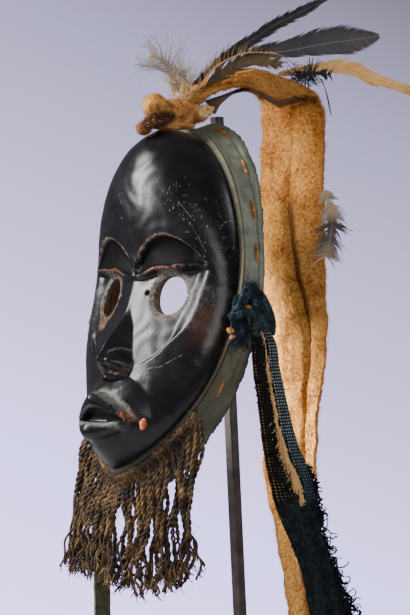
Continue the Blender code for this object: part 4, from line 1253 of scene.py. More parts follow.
def ear_knot(name, side, cloth, node, seed):
    draw = random.Random(seed)

    def route(*places):
        return [ear_point(side, y, z, out) for y, z, out in places]

    bm = bmesh.new()
    add_folds(bm,
        [route((-0.0405, 0.2725, -0.0035), (-0.0365, 0.2752, 0.0), (-0.0295, 0.2768, 0.0022),
            (-0.0232, 0.2755, 0.0030),
                         (-0.0195, 0.2712, 0.0030), (-0.0190, 0.2660, 0.0020), (-0.0208, 0.2610, 0.0005))],
                         0.0029)
    add_folds(bm,
        [route((-0.0262, 0.2962, -0.0015), (-0.0312, 0.2880, 0.0), (-0.0362, 0.2805, 0.0),
            (-0.0405, 0.2730, -0.0030)),
                   route((-0.0252, 0.2955, -0.0005), (-0.0285, 0.2880, 0.0010), (-0.0318, 0.2815, 0.0005),
                       (-0.0335, 0.2770, -0.0010))], 0.0021)
    # The cloth that comes out through the band
    add_folds(bm,
        [route((-0.0285, 0.2800, -0.0030), (-0.0260, 0.2765, -0.0070), (-0.0240, 0.2735, -0.0118)),
                   route((-0.0240, 0.2830, -0.0030), (-0.0232, 0.2795, -0.0070),
                       (-0.0226, 0.2755, -0.0116))], 0.0024)
    gathers = 9
    folds = []
    for fold in range(gathers):
        spread = fold / (gathers - 1) - 0.5
        folds.append(route((-0.0238 + 0.0080 * spread, 0.2970 - 0.0030 * abs(spread), -0.0010),
                           (-0.0195 + 0.0125 * spread, 0.2885, 0.0015 + 0.0012 * math.sin(5.0 * spread)),
                           (-0.0140 + 0.0150 * spread, 0.2795, 0.0030 + 0.0010 * math.cos(7.0 * spread)),
                           (-0.0100 + 0.0150 * spread, 0.2700, 0.0015),
                           (-0.0085 + 0.0150 * spread, 0.2615, -0.0008)))
    add_folds(bm, folds, 0.00105)
    for y, z, out, radii in ((-0.0275, 0.2665, -0.0050, (0.0028, 0.0085, 0.0110)),
        (-0.0305, 0.2580, -0.0050, (0.0025, 0.0065, 0.0050)),
                             (-0.0195, 0.2845, -0.0015, (0.0030, 0.0080, 0.0110)),
                             (-0.0300, 0.2810, -0.0025, (0.0028, 0.0065, 0.0080))):
        stretched_ball(bm, ear_point(side, y, z, out - 0.0022), radii)
    piece = show(name, bm, cloth)
    melt(piece, 0.0004, 1)
    roughen(piece.data, 0.00035, 520.0, seed)
    piece.data.shade_smooth()
    paths = []
    for _ in range(70):
        place = ear_point(side, -0.0240 + draw.uniform(-0.0045, 0.0060),
            0.2955 + draw.uniform(-0.002, 0.001), draw.uniform(-0.003, 0.002))
        paths.append(curl(place, (0.0, draw.uniform(-0.5, 0.9), 1.0), draw.uniform(0.0025, 0.005), draw,
            0.6))
    for _ in range(150):
        share = draw.random()
        place = ear_point(side, -0.0165 + 0.0105 * share, 0.2920 - 0.0210 * share,
            draw.uniform(-0.002, 0.003))
        paths.append(curl(place, (side * draw.uniform(-0.1, 0.5), 1.0, draw.uniform(-0.7, 0.3)),
            draw.uniform(0.003, 0.0065), draw, 0.8))
    for _ in range(80):
        place = ear_point(side, draw.uniform(-0.0375, -0.0240), draw.uniform(0.2540, 0.2600),
            draw.uniform(-0.006, -0.001))
        paths.append(curl(place, (side * draw.uniform(-0.2, 0.3), draw.uniform(-0.6, 0.3), -1.0),
            draw.uniform(0.004, 0.0080), draw, 0.7))
    paths += nap(piece.data, 500, 0.0014, draw)
    frays = threads(name + "_frays", paths, 0.00042, cloth, 0.35, 0)
    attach(piece, "root")
    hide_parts(node)
    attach(frays, "root")


ear_knot("ear_tie_left", 1, indigo, "ear_knot_left", 51)
ear_knot("ear_tie_right", -1, olive, "ear_knot_right", 52)
bm = bmesh.new()
for y, z, size in ((-0.0285, 0.2800, 0.0018), (-0.0262, 0.2795, 0.0013), (-0.0393, 0.2645, 0.0023),
    (-0.0373, 0.2600, 0.0018), (-0.0302, 0.2790, 0.0012)):
    stretched_ball(bm, ear_point(1, y, z, 0.0015 if z > 0.27 else -0.0040), (size, size * 1.2, size * 0.9))
tie_bits = show("tie_hide_bits", bm, tan_thong)
melt(tie_bits, 0.0004, 1)
roughen(tie_bits.data, 0.0006, 600.0)
tie_bits.data.shade_smooth()
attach(tie_bits, "root")


# The side straps: on the left two strips of indigo cloth, one black and one with a white check,
# joined by a frayed tan seam, with a torn, curling edge. On the right one narrow green strap.
def side_stations(rows):
    top = rows[0][0]
    found = []
    for height, side, forward, rear in rows:
        middle = (side + 0.0015, (forward + rear) / 2, height)
        found.append((top - height, (side, forward, height), middle, (side - 0.002, rear, height)))
    return found


LEFT_STATIONS = side_stations((
    (0.2650, 0.0830, -0.0235, -0.0040), (0.2570, 0.0830, -0.0215, 0.0015), (0.240, 0.0810, -0.0185, 0.0075),
    (0.220, 0.0785, -0.0120, 0.016), (0.185, 0.0760, -0.0035, 0.031), (0.160, 0.0745, 0.0045, 0.047),
    (0.126, 0.0730, 0.0215, 0.0565), (0.098, 0.0715, 0.038, 0.071), (0.062, 0.0700, 0.048, 0.087),
    (0.045, 0.0695, 0.054, 0.092),
))
RIGHT_STATIONS = side_stations((
    (0.2570, -0.0830, -0.0140, 0.0025), (0.200, -0.0805, -0.020, -0.004),
    (0.120, -0.0790, -0.024, -0.0085), (0.045, -0.0780, -0.0235, -0.0085),
))
SEAM_END = 0.535
SEAM_TUFTS = 60


def seam_line(along):
    return -0.06 + 0.28 * smooth_step(0.25, 0.55, along)


def left_shape(a, run):
    along = run / LEFT_STATIONS[-1][0]
    seam = seam_line(along)
    open_seam = smooth_step(SEAM_END + 0.03, SEAM_END - 0.05, along)
    out = 0.0024 * np.sqrt(np.clip(1.0 - ((a - (1.0 + seam) / 2) / 0.55) ** 2, 0.0, 1.0)) * open_seam
    out += 0.0012 * near(a + 0.6, 0.35) - 0.0014 * near(a - seam, 0.10) * open_seam
    out += ((1.0 - open_seam)
        * (0.0016 * np.sin(a * 4.5 + along * 6.0) + 0.0008 * np.sin(a * 11.0 + along * 19.0)))
    edge = smooth_step(0.90, 1.0, np.abs(a)) * np.sign(a)
    torn = (edge
        * (0.0010 * wander(along, 61, 6, 40.0) * smooth_step(0.2, 0.6, along) * (a > 0.0) + 0.0003
            * wander(along, 63, 5, 70.0)))
    return np.stack([out, torn, 0.0 * a], -1)


check_cloth, tree, shader = finish("checked_indigo_cotton", 0.95, Specular_IOR_Level=0.08)
place = add(tree, "TexCoord").outputs["Object"]
strip_place = add(tree, "SeparateXYZ", {0: add(tree, "UVMap").outputs["UV"]})
across, down = strip_place.outputs["X"], strip_place.outputs["Y"]
seam = add(tree, "MapRange",
    {"Value": down, "From Min": 0.25, "From Max": 0.55, "To Min": 0.47, "To Max": 0.61},
    interpolation_type="SMOOTHSTEP").outputs[0]
wobble = times(tree, calc(tree, "SUBTRACT", noise(tree, place, 260.0, 3.0), 0.5), 0.07)
from_seam = calc(tree, "ADD", calc(tree, "SUBTRACT", across, seam), wobble)
upper = step_up(tree, down, SEAM_END + 0.02, SEAM_END - 0.02)
columns = calc(tree, "COSINE",
    scaled(tree, noise(tree, place, 150.0, 2.0), 2.2, times(tree, across, 2.0 * math.pi * 14.0)))
drift = scaled(tree, noise(tree, place, 180.0, 2.0), 1.6, times(tree, down, 2.0 * math.pi * 100.0))
rows = calc(tree, "COSINE", drift)
dots = step_up(tree, scaled(tree, noise(tree, place, 800.0, 2.0), 0.9, calc(tree, "ADD", columns, rows)),
    1.05, 1.65)
dropped = step_up(tree, noise(tree, place, 210.0, 3.0), 0.40, 0.54)
on_right = step_up(tree, from_seam, 0.055, 0.085)
bright = add(tree, "MapRange",
    {"Value": down, "From Min": 0.30, "From Max": 0.50, "To Min": 1.0, "To Max": 0.15}).outputs[0]
right_dots = times(tree, times(tree, dots, on_right), times(tree, bright, scaled(tree, dropped, 0.6, 0.4)))
left_edge = times(tree, dots, step_up(tree, across, 0.13, 0.08))
low_rows = times(tree, times(tree, dots, step_up(tree, down, 0.40, 0.48)),
    step_up(tree, from_seam, 0.0, -0.04))
faint = times(tree, times(tree, dots, dropped), 0.22)
cloth = blend(tree, on_right, (0.0045, 0.0048, 0.0046), (0.0085, 0.0185, 0.0250))
plain = colour_ramp(tree, noise(tree, place, 260.0, 6.0, 0.75),
    ((0.38, (0.0040, 0.0052, 0.0062)), (0.54, (0.0100, 0.0128, 0.0150)), (0.70, (0.036, 0.044, 0.045))))
cloth = blend(tree, upper, plain, cloth)
cloth = blend(tree, times(tree, faint, upper), cloth, (0.075, 0.068, 0.045))
cloth = blend(tree, times(tree, times(tree, low_rows, upper), times(tree, dropped, 0.75)), cloth,
    (0.13, 0.105, 0.060))
cloth = blend(tree, times(tree, times(tree, left_edge, upper), times(tree, dropped, 0.9)), cloth,
    (0.22, 0.12, 0.045))
cloth = blend(tree, times(tree, right_dots, upper), cloth, (0.30, 0.33, 0.28))
tan_seam = times(tree, step_up(tree, calc(tree, "ABSOLUTE", from_seam), 0.042, 0.022),
    step_up(tree, down, SEAM_END, SEAM_END - 0.03))
seam_tone = colour_ramp(tree, noise(tree, place, 500.0, 4.0),
    ((0.35, (0.26, 0.11, 0.030)), (0.48, (0.60, 0.33, 0.11)), (0.64, (0.86, 0.62, 0.30))))
cloth = blend(tree, tan_seam, cloth, seam_tone)
paint(tree, shader, cloth)
threadwork = times(tree, calc(tree, "SINE", times(tree, across, 240.0)),
    calc(tree, "SINE", times(tree, down, 1500.0)))
relief = scaled(tree, threadwork, 0.4, scaled(tree, dots, 0.3, noise(tree, place, 600.0, 4.0, 0.7)))
emboss(tree, shader, 0.7, 0.0006, relief)

left_strap = woven_strip("checked_strap", LEFT_STATIONS, 48, 260, 0.0020, left_shape, check_cloth)
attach(left_strap, "root")
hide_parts("ear_strap_left")


def left_strap_point(a, along, out=0.0):
    a, along = np.array([float(a)]), np.array([float(along)])
    points, run = strap_points(LEFT_STATIONS, a, along)
    return Vector((points + left_shape(a, run))[0]) + Vector((out, 0.0, 0.0))


def plain_quill(name, colour):
    made, tree, shader = finish(name, 0.4)
    place = add(tree, "TexCoord").outputs["Object"]
    tone = colour_ramp(tree, noise(tree, place, 300.0),
        ((0.3, tuple(0.6 * value for value in colour)), (0.7, colour)))
    paint(tree, shader, tone)
    return made


black_thread, tree, shader = finish("black_thread", 0.9, Specular_IOR_Level=0.15)
place = add(tree, "TexCoord").outputs["Object"]
paint(tree, shader,
    colour_ramp(tree, noise(tree, place, 90.0),
        ((0.35, (0.0030, 0.0036, 0.0045)), (0.65, (0.012, 0.0155, 0.019)))))
draw = random.Random(71)
paths = []
for _ in range(230):
    along = draw.uniform(0.42, 0.58)
    paths.append(curl(left_strap_point(0.93, along, -0.0005),
        (draw.uniform(-0.4, 0.5), 1.0, draw.uniform(-0.5, 0.1)), draw.uniform(0.003, 0.008), draw, 0.8))
for _ in range(280):
    along = 0.54 + 0.44 * draw.random() ** 0.8
    reach = draw.uniform(0.010, 0.026) * (0.65 + 0.60 * smooth_step(0.7, 0.95, along))
    paths.append(curl(left_strap_point(0.93, along, -0.0005),
        (draw.uniform(-0.5, 0.5), 1.0, draw.uniform(-0.6, 0.5)), float(reach), draw, 0.85, 14))
for _ in range(60):
    paths.append(curl(left_strap_point(-0.96, draw.uniform(0.02, 0.9)),
        (draw.uniform(-0.3, 0.3), -1.0, -0.4), draw.uniform(0.001, 0.0025), draw, 1.0))
strap_frays = threads("torn_edge_threads", paths, 0.00130, black_thread, 0.60, 0)
paths = []
tufts = [SEAM_END * draw.random() ** 0.7 for _ in range(SEAM_TUFTS)]
for number in range(620):
    along = min(SEAM_END, max(0.0, tufts[number % SEAM_TUFTS] + draw.gauss(0.0, 0.006)))
    low = draw.uniform(-0.06, 0.09)
    place = left_strap_point(float(seam_line(along)) + low, along, 0.0008)
    length = draw.uniform(0.0022, 0.0050) * (2.2 if 0.26 < along < 0.48 else 1.0)
    lean = 0.45 + 0.35 * math.sin(float(number % SEAM_TUFTS))
    paths.append(curl(place, (0.30, -lean - draw.uniform(0.0, 0.3), -0.8), length, draw, 0.28, 6))
pale_thread = plain_quill("pale_cotton_thread", (0.90, 0.56, 0.21))
seam_frays = threads("seam_threads", paths, 0.00054, pale_thread, 0.6, 0)
for piece, slot in ((strap_frays, "indigo_cloth"), (seam_frays, "tan_hide")):
    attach(piece, "root")


def right_shape(a, run):
    out = 0.0007 * np.sin(run * 40.0) + 0.0010 * np.sin(a * 3.0 + run * 15.0)
    return np.stack([-out, 0.0004 * wander(run, 81, 5, 120.0), 0.0 * a], -1)


right_strap = woven_strip("green_strap", RIGHT_STATIONS, 20, 160, 0.0022, right_shape, olive)
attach(right_strap, "root")
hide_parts("ear_strap_right")


# The beard: seventy cords of brown plant fibre, each laid from two yarns, knotted through
# the band along the jaw from ear to ear. They hang in bunches and come apart at their ends.
BEARD_CORDS = 70
BEARD_SPAN = 1.90
HEADING_STEPS = 180
BEARD_REACH = math.acos(1.0 - 2.0 * 0.057 / FACE_HEIGHT)
# Middles of the bunches, as a share of the jaw's reach from the right ear at -1 to the left at 1
BUNCHES = (-0.90, -0.68, -0.46, -0.26, -0.06, 0.14, 0.34, 0.44, 0.54, 0.64, 0.74, 0.84)
# Height where the cords end, along the jaw
BEARD_ENDS = ((-1.0, 0.099), (-0.6, 0.097), (-0.15, 0.098), (0.05, 0.093), (0.25, 0.087), (0.55, 0.089),
    (0.80, 0.097), (1.0, 0.101))


def jaw_point(share, across, raised):
    angle = share * BEARD_REACH
    angle = angle if share >= 0.0 else 2.0 * math.pi + angle
    found = band_point(np.array(angle), across, raised)
    return face_place @ Vector([float(value) for value in found])


def cord_path(share, draw, row):
    """The middle of one cord: out over the band, then down with its bunch."""
    steps = 44
    nearest = min(BUNCHES, key=lambda middle: abs(middle - share))
    pull = draw.uniform(0.35, 0.85) if share < 0.22 else draw.uniform(0.05, 0.45)
    swing = [draw.uniform(-1.0, 1.0) for _ in range(6)]
    head = [jaw_point(share, 0.06, 0.0008), jaw_point(share, 0.15, 0.0034),
        jaw_point(share, 0.25, 0.0040 + 0.0024 * row)]
    length = head[2].z - float(curve_value(BEARD_ENDS, share)) + draw.uniform(-0.006, 0.005)
    path = [head[0], head[0].lerp(head[1], 0.5), head[1], head[1].lerp(head[2], 0.5)]
    own_wave = 40.0 * nearest
    for step in range(steps):
        down = step / (steps - 1)
        gather = math.sin(min(1.0, 1.35 * down) * math.pi / 2.0) - 0.45 * smooth_step(0.55, 1.0, down)
        drift = share + (nearest - share) * pull * float(gather) + 0.025 * swing[0] * down
        top = jaw_point(drift, 0.25, 0.0040 + 0.0024 * row)
        top.z = head[2].z
        away = Vector((top.x, 0.6 * (top.y + 0.02), 0.0)).normalized()
        aside = Vector((-away.y, away.x, 0.0))
        splay = ((0.002 + (0.009 + 0.010 * max(0.0, -share) - 0.032 * max(0.0, share)) * down**0.9)
            * min(1.0, 4.0 * down))
        ease = min(1.0, 3.0 * down)
        sway = (0.0030 * math.sin(4.6 * down + own_wave) + 0.0024 * math.sin(9.0 * down + 3.0 * swing[1])
            + 0.0009 * math.sin(19.0 * down + 3.0 * swing[2]))
        forth = (0.0026 * row * math.sin(2.6 * down + 0.4) + 0.0018 * swing[3] * math.sin(8.0 * down)
            + 0.0010 * math.sin(15.0 * down + 3.0 * swing[4]))
        path.append(top + away * (splay + ease * forth) + aside * (sway * ease)
            + Vector((0.0, 0.0, -length * down)))
    return path


def laid_yarns(path, yarns, radius, pitch, draw, open_end=0.8):
    """The yarns of a laid cord: each winds round the middle path and leaves it near the end."""
    phase = draw.uniform(0.0, 6.28)
    total = sum((b - a).length for a, b in zip(path, path[1:]))
    found = []
    fine = 2
    for yarn in range(yarns):
        leave = Vector((draw.gauss(0, 1), draw.gauss(0, 1), draw.gauss(0, 0.5))) * 0.0034
        wave = [draw.uniform(0.0, 6.28) for _ in range(3)]
        points = []
        for index in range((len(path) - 1) * fine + 1):
            share = index / ((len(path) - 1) * fine)
            first = min(index // fine, len(path) - 2)
            part = index / fine - first
            middle = path[first].lerp(path[first + 1], part)
            tangent = (path[first + 1] - path[first]).normalized()
            sideways = tangent.cross(Vector((0.13, 0.91, 0.39))).normalized()
            other = tangent.cross(sideways)
            turn = phase + 2.0 * math.pi * (yarn / yarns + min(share, open_end + 0.1) * total / pitch)
            loosen = max(0.0, share - open_end) / (1.0 - open_end)
            own = (Vector((math.sin(13.0 * loosen + wave[0]), math.sin(11.0 * loosen + wave[1]),
                0.4 * math.sin(9.0 * loosen + wave[2]))) * 0.0011)
            place = (middle + (sideways * math.cos(turn) + other * math.sin(turn)) * radius
                * (1.0 + 0.5 * loosen))
            points.append(place + leave * loosen**1.4 + own * min(1.0, 2.0 * loosen))
        found.append(points)
    return found


brown_fibre, tree, shader = finish("brown_plant_fibre", 0.85, Specular_IOR_Level=0.3)
place = add(tree, "TexCoord").outputs["Object"]
streak = noise(tree, stretched(tree, place, (1500.0, 1500.0, 240.0)), 1.0, 4.0, 0.65)
clumps = noise(tree, place, 85.0, 4.0)
tone = colour_ramp(tree, scaled(tree, streak, 0.5, times(tree, clumps, 0.5)), (
    (0.38, (0.005, 0.0032, 0.002)), (0.47, (0.026, 0.015, 0.007)), (0.56, (0.105, 0.060, 0.025)),
    (0.68, (0.40, 0.235, 0.090))))
dusty_side = step_up(tree, add(tree, "SeparateXYZ", {0: place}).outputs["X"], 0.005, -0.020)
tone = blend(tree, times(tree, dusty_side, 0.8), tone, (0.80, 0.78, 0.78), "MULTIPLY")
paint(tree, shader, tone)
emboss(tree, shader, 0.9, 0.0005, streak)

draw = random.Random(91)
yarn_sets = {"left": [], "right": [], "ropes": []}
hairs = []
ends = []
for number in range(BEARD_CORDS):
    share = -1.0 + BEARD_SPAN * (number + 0.5) / BEARD_CORDS + draw.uniform(-0.015, 0.015)
    path = cord_path(share, draw, number % 2)
    thick = share > 0.35 and number % 4 == 0
    loose_from = 0.52 + draw.uniform(-0.08, 0.10) if share < 0.1 else 0.68 + draw.uniform(-0.10, 0.14)
    yarns = laid_yarns(path, 3 if thick else 2, 0.00125 if thick else 0.00085, 0.0145 if thick else 0.0090,
        draw, loose_from)
    part = "ropes" if thick else "left" if share > 0.0 else "right"
    yarn_sets[part].extend(yarns)
    for yarn in yarns:
        for _ in range(7):
            place = yarn[draw.randrange(len(yarn) - 12, len(yarn) - 1)]
            ends.append(curl(place, (draw.gauss(0, 0.6), draw.gauss(0, 0.6), -1.4),
                draw.uniform(0.003, 0.007), draw, 0.5, 5))
    for _ in range(14):
        root = path[draw.randrange(3, len(path))]
        hairs.append(curl(root, (draw.gauss(0, 1), draw.gauss(0, 1), -1.2), draw.uniform(0.004, 0.011),
            draw, 0.8, 6))
for _ in range(330):
    share = draw.uniform(-1.0, 0.92)
    root = jaw_point(share, draw.uniform(0.02, 0.24), draw.uniform(0.0005, 0.003))
    hairs.append(curl(root, (0.5 * share, draw.uniform(-0.8, 0.4), -1.0), draw.uniform(0.004, 0.011), draw,
        0.9, 6))
beard_pieces = []
for part, yarns in yarn_sets.items():
    beard_pieces.append(threads("beard_cords_" + part, yarns, 0.0026 if part == "ropes" else 0.0020,
        brown_fibre, 0.80, 1))
beard_pieces.append(threads("beard_loose_fibres", hairs, 0.00032, brown_fibre, 0.4, 0))
beard_pieces.append(threads("beard_frayed_ends", ends, 0.00080, brown_fibre, 0.6, 0))
heading = []
for turn in range(3):
    points = []
    for step in range(HEADING_STEPS):
        share = -1.0 + BEARD_SPAN * step / (HEADING_STEPS - 1)
        wind = 150.0 * share + 2.09 * turn
        points.append(jaw_point(share, 0.110 + 0.045 * math.cos(wind), 0.0026 + 0.0012 * math.sin(wind)))
    heading.append(points)
beard_pieces.append(threads("beard_heading_cord", heading, 0.0026, brown_fibre, 0.9, 1))
for piece in beard_pieces:
    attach(piece, "root")
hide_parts("beard")


# The feathers: wing feathers and downy scraps pushed under the strap. Each has a quill and
# separate barbs that lie side by side in a vane, part into tufts and go to down at the root.
VIEW_SIDE = Vector((0.73, -0.68, 0.0)).normalized()


def feather_material(name, stops, roughness=0.6, stripes=0.0, edge=None):
    """Barb colours along the feather; stripes alternate barbs, edge colours the barb tips."""
    made, tree, shader = finish(name, roughness, Specular_IOR_Level=0.2)
    along = attribute(tree, "along")
    tone = colour_ramp(tree, along, stops)
    shade = attribute(tree, "shade")
    tone = blend(tree, 0.75, tone,
        colour_ramp(tree, shade, ((0.0, (0.55, 0.55, 0.56)), (1.0, (1.35, 1.32, 1.28)))), "MULTIPLY")
    if stripes:
        tone = blend(tree, times(tree, step_up(tree, shade, 0.48, 0.56), stripes), tone,
            (0.42, 0.25, 0.095))
    if edge:
        tone = blend(tree, step_up(tree, attribute(tree, "out"), 0.6, 1.0), tone, edge)
    paint(tree, shader, tone)
    return made


def feather(name, node, path, left, right, barbs, sweep, material, quill, seed=0, thin=1.0,
    loose=0.05,
            quill_width=0.0011, camber=0.10, segments=8, bunch=6):
    """Barbs of a feather along a path; left and right are the widths of its two vanes along it."""
    draw = random.Random(seed)
    steps = 2 * barbs
    clumps = [draw.gauss(0, 1) for _ in range(barbs // bunch + 2)]
    own = np.array([[clumps[index // bunch], draw.gauss(0, 1), draw.random(), draw.gauss(0, 1),
        draw.gauss(0, 1)] for index in range(barbs)])
    places = [(index / (len(path) - 1), *point) for index, point in enumerate(path)]
    left = [(index / (len(left) - 1), value) for index, value in enumerate(left)]
    right = [(index / (len(right) - 1), value) for index, value in enumerate(right)]
    bm = bmesh.new()
    bmesh.ops.create_grid(bm, x_segments=2 * segments, y_segments=steps - 1, size=1.0)
    gaps = []
    for face in bm.faces:
        row = (face.calc_center_median().y + 1.0) / 2.0 * (steps - 1)
        if int(row) % 2:
            gaps.append(face)
    bmesh.ops.delete(bm, geom=gaps, context="FACES_ONLY")
    points = np.array([vert.co for vert in bm.verts])
    row = np.rint((points[:, 1] + 1.0) / 2.0 * (steps - 1)).astype(int)
    barb, upper = row // 2, row % 2
    out = np.abs(points[:, 0])
    share = np.clip((barb + 0.5) / barbs, 0.0, 1.0)
    here = curve_value(places, share)
    ahead = (curve_value(places, np.clip(share + 0.02, 0.0, 1.0))
        - curve_value(places, np.clip(share - 0.02, 0.0, 1.0)))
    ahead /= np.linalg.norm(ahead, axis=1)[:, None]
    sideways = np.cross(np.array(VIEW_SIDE), ahead)
    sideways /= np.linalg.norm(sideways, axis=1)[:, None]
    on_left = points[:, 0] < 0.0
    reach = np.where(on_left, curve_value(left, share), curve_value(right, share))
    random_part = own[barb]
    angle = (np.radians(sweep) + loose * random_part[:, 0] * out + 0.4 * loose * random_part[:, 1] * out
        + 0.25 * out * out)
    length = reach * (1.0 + 1.2 * loose * random_part[:, 3]) / max(0.35, math.cos(math.radians(sweep)))
    pitch = np.linalg.norm(curve_value(places, 1.0) - curve_value(places, 0.0)) / barbs
    width = thin * pitch * (1.05 - 0.75 * out**2)
    sign = np.where(on_left, -1.0, 1.0)
    spot = (here + sideways * (sign * out * length * np.cos(angle))[:, None] + ahead
        * (out * length * np.sin(angle))[:, None])
    spot += ahead * ((upper - 0.5) * width)[:, None]
    depth = (-camber * out**2 * reach + 0.00025 * (barb % 2) * (1.0 - out) + 0.0012 * loose * 8.0
        * random_part[:, 4] * out)
    spot += np.array(VIEW_SIDE) * (depth - 0.0002)[:, None]
    for vert, place in zip(bm.verts, spot):
        vert.co = place
    vane = show(name, bm, material)
    mark(vane.data, "along", share)
    mark(vane.data, "out", out)
    mark(vane.data, "shade",
        np.clip(0.5 + 0.16 * random_part[:, 0] + 0.22 * (random_part[:, 2] - 0.5) * 2.0, 0.0, 1.0))
    skin = vane.modifiers.new("skin", "SOLIDIFY")
    skin.thickness = 0.00014
    settle(vane)
    pieces = [vane]
    if quill_width:
        spine = [Vector(curve_value(places, step / 24)) + VIEW_SIDE * 0.0003 for step in range(25)]
        pieces.append(threads(name + "_quill", [spine], quill_width, quill, 0.25, 2))
    for piece in pieces:
        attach(piece, "root")
    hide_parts(node)
    return vane


dark_quill = plain_quill("dark_quill", (0.035, 0.030, 0.028))
grey_quill = plain_quill("grey_quill", (0.17, 0.15, 0.15))
cream_quill = plain_quill("cream_quill", (0.56, 0.35, 0.14))
dark_vane = feather_material("dark_vane",
    ((0.0, (0.026, 0.020, 0.018)), (0.45, (0.022, 0.020, 0.020)), (1.0, (0.014, 0.013, 0.014))), 0.6)
grey_vane = feather_material("grey_vane",
    ((0.0, (0.022, 0.019, 0.018)), (0.35, (0.024, 0.021, 0.021)), (0.8, (0.036, 0.029, 0.030)),
        (1.0, (0.040, 0.028, 0.028))), 0.6)
tan_vane = feather_material("tan_vane",
    ((0.0, (0.42, 0.22, 0.080)), (0.3, (0.70, 0.38, 0.12)), (1.0, (0.76, 0.45, 0.16))), 0.8, 0.0,
    (0.86, 0.60, 0.30))
barred_vane = feather_material("barred_vane", ((0.0, (0.026, 0.018, 0.012)), (1.0, (0.022, 0.018, 0.014))),
    0.8, 0.85)
soft_vane = feather_material("soft_vane",
    ((0.0, (0.085, 0.052, 0.022)), (0.6, (0.120, 0.082, 0.040)), (1.0, (0.17, 0.115, 0.052))), 0.85)
plume_vane = feather_material("plume_vane",
    ((0.0, (0.62, 0.46, 0.28)), (0.4, (0.46, 0.40, 0.31)), (0.75, (0.30, 0.27, 0.23)),
        (1.0, (0.50, 0.41, 0.27))), 0.85, 0.0, (0.11, 0.10, 0.10))
edge_vane = feather_material("edge_vane",
    ((0.0, (0.44, 0.36, 0.25)), (0.35, (0.42, 0.34, 0.24)), (0.5, (0.10, 0.085, 0.09)),
        (0.75, (0.14, 0.12, 0.12)), (1.0, (0.46, 0.35, 0.21))), 0.85)

feather("wing_feather_long", "feather_long", (
    (-0.004, 0.004, 0.4430), (-0.006, 0.041, 0.4690), (-0.006, 0.066, 0.4830),
    (-0.006, 0.091, 0.4975), (-0.006, 0.124, 0.5130), (-0.006, 0.158, 0.5300),
), (0.0020, 0.0062, 0.0085, 0.0076, 0.0050, 0.0014), (0.0020, 0.0058, 0.0078, 0.0068, 0.0056, 0.0016), 170,
58.0, dark_vane, dark_quill, 101, 2.6, 0.06)
feather("wing_feather_broad", "feather_broad", (
    (0.000, 0.032, 0.4550), (0.000, 0.066, 0.4705), (0.000, 0.100, 0.4780),
    (0.000, 0.132, 0.4860), (0.000, 0.165, 0.4930), (0.000, 0.198, 0.5000),
), (0.0012, 0.0045, 0.0080, 0.0140, 0.0125, 0.0020), (0.0036, 0.0096, 0.0150, 0.0180, 0.0125, 0.0020), 170,
46.0, grey_vane, grey_quill, 102, 2.6, 0.03)
feather("hackle_tan", "feather_tan", (
    (0.006, 0.081, 0.4578), (0.006, 0.145, 0.4695), (0.006, 0.183, 0.4655), (0.006, 0.253, 0.4570),
), (0.0050, 0.0100, 0.0080, 0.0046), (0.0050, 0.0100, 0.0080, 0.0046), 170, 66.0, tan_vane, cream_quill,
103, 2.8, 0.05, 0.0009)
feather("quill_barred", "feather_barred", (
    (0.013, -0.006, 0.4375), (0.015, 0.010, 0.4550), (0.015, 0.034, 0.4665),
    (0.015, 0.054, 0.4700), (0.015, 0.075, 0.4700), (0.015, 0.093, 0.4640),
), (0.0004, 0.0012, 0.0012, 0.0008, 0.0003, 0.0002), (0.0060, 0.0105, 0.0090, 0.0045, 0.0006, 0.0002), 130,
44.0, barred_vane, cream_quill, 104, 0.95, 0.10, 0.0016, 0.1, 6, 2)
feather("scrap_soft", "feather_soft", (
    (0.011, 0.004, 0.4410), (0.011, 0.020, 0.4510), (0.011, 0.048, 0.4625), (0.011, 0.079, 0.4640),
), (0.0030, 0.0060, 0.0060, 0.0026), (0.0045, 0.0100, 0.0110, 0.0045), 110, 60.0, soft_vane, dark_quill,
105, 2.8, 0.10, 0.0006)
feather("scrap_edge", "feather_edge", (
    (0.0270, 0.1100, 0.372), (0.0310, 0.1130, 0.348), (0.0275, 0.1100, 0.322),
), (0.0060, 0.0100, 0.0080), (0.0060, 0.0105, 0.0080), 130, 30.0, edge_vane, cream_quill, 106, 2.2, 0.20,
0.0006, 0.1, 8, 9)
feather("scrap_dark", "feather_tuft", (
    (0.010, 0.098, 0.4560), (0.015, 0.109, 0.4600), (0.020, 0.123, 0.4600),
), (0.0020, 0.0050, 0.0026), (0.0030, 0.0075, 0.0036), 34, 38.0, dark_vane, dark_quill, 107, 1.6, 0.45,
0.0008, 0.1, 6, 3)
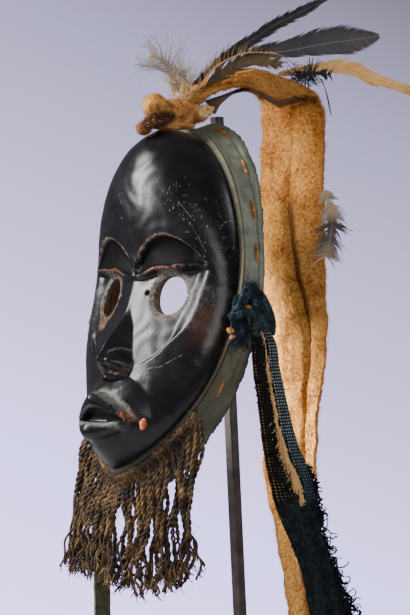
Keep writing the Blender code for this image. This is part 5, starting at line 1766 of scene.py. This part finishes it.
feather("plume_grey", "feather_plume", (
    (-0.004, -0.014, 0.4335), (-0.004, -0.013, 0.4460), (-0.004, -0.021, 0.4560), (-0.004, -0.036, 0.4600),
), (0.0050, 0.0120, 0.0150, 0.0090), (0.0050, 0.0120, 0.0150, 0.0090), 150, 44.0, plume_vane, cream_quill,
108, 1.1, 0.20, 0.0009, 0.1, 8, 3)

# Loose barbs: a second downy spray at the root of the quills, a black tuft behind the arch
# with a curled tail, and pale strands at the plume's foot
draw = random.Random(131)
sprays = {"plume_spray": (plume_vane, "brown_feather", 0.00046),
    "black_tuft": (dark_vane, "dark_feather", 0.00085),
          "pale_strands": (cream_quill, "pale_feather", 0.00060)}
paths = {name: [] for name in sprays}
for _ in range(230):
    root = Vector((draw.uniform(-0.004, 0.004), draw.uniform(-0.012, -0.004), draw.uniform(0.436, 0.442)))
    paths["plume_spray"].append(curl(root, (0.0, draw.uniform(-1.3, 0.5), 1.0), draw.uniform(0.012, 0.026),
        draw, 0.30, 10))
for _ in range(60):
    root = Vector((0.016 + draw.uniform(-0.003, 0.003), draw.uniform(0.086, 0.104),
        draw.uniform(0.4525, 0.4600)))
    paths["black_tuft"].append(curl(root,
        (0.1 * draw.gauss(0, 1), draw.uniform(-0.8, 1.4), draw.uniform(-0.5, 0.6)),
        draw.uniform(0.006, 0.018), draw, 0.45, 9))
for turn in (0.0, 0.4, 0.9):
    tail = [Vector((0.020, 0.112 + 0.010 * t + 0.0012 * math.sin(3.0 * t + turn),
        0.4560 - 0.0150 * t - 0.0045 * t * t)) for t in np.linspace(0.0, 1.3, 12)]
    paths["black_tuft"].append(tail)
for _ in range(46):
    root = Vector((0.0105 + draw.uniform(-0.003, 0.003), draw.uniform(-0.022, -0.004),
        draw.uniform(0.4285, 0.4350)))
    paths["pale_strands"].append(curl(root, (0.15, draw.uniform(-0.8, 0.8), draw.uniform(0.2, 1.2)),
        draw.uniform(0.006, 0.015), draw, 0.7, 9))
for name, (material, slot, thickness) in sprays.items():
    spray = threads(name, paths[name], thickness, material, 0.45, 0)
    count = len(spray.data.vertices)
    mark(spray.data, "along", np.full(count, 0.35))
    mark(spray.data, "out", np.full(count, 0.2))
    mark(spray.data, "shade", np.linspace(0.0, 1.0, count) * 37.0 % 1.0)
    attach(spray, "root")
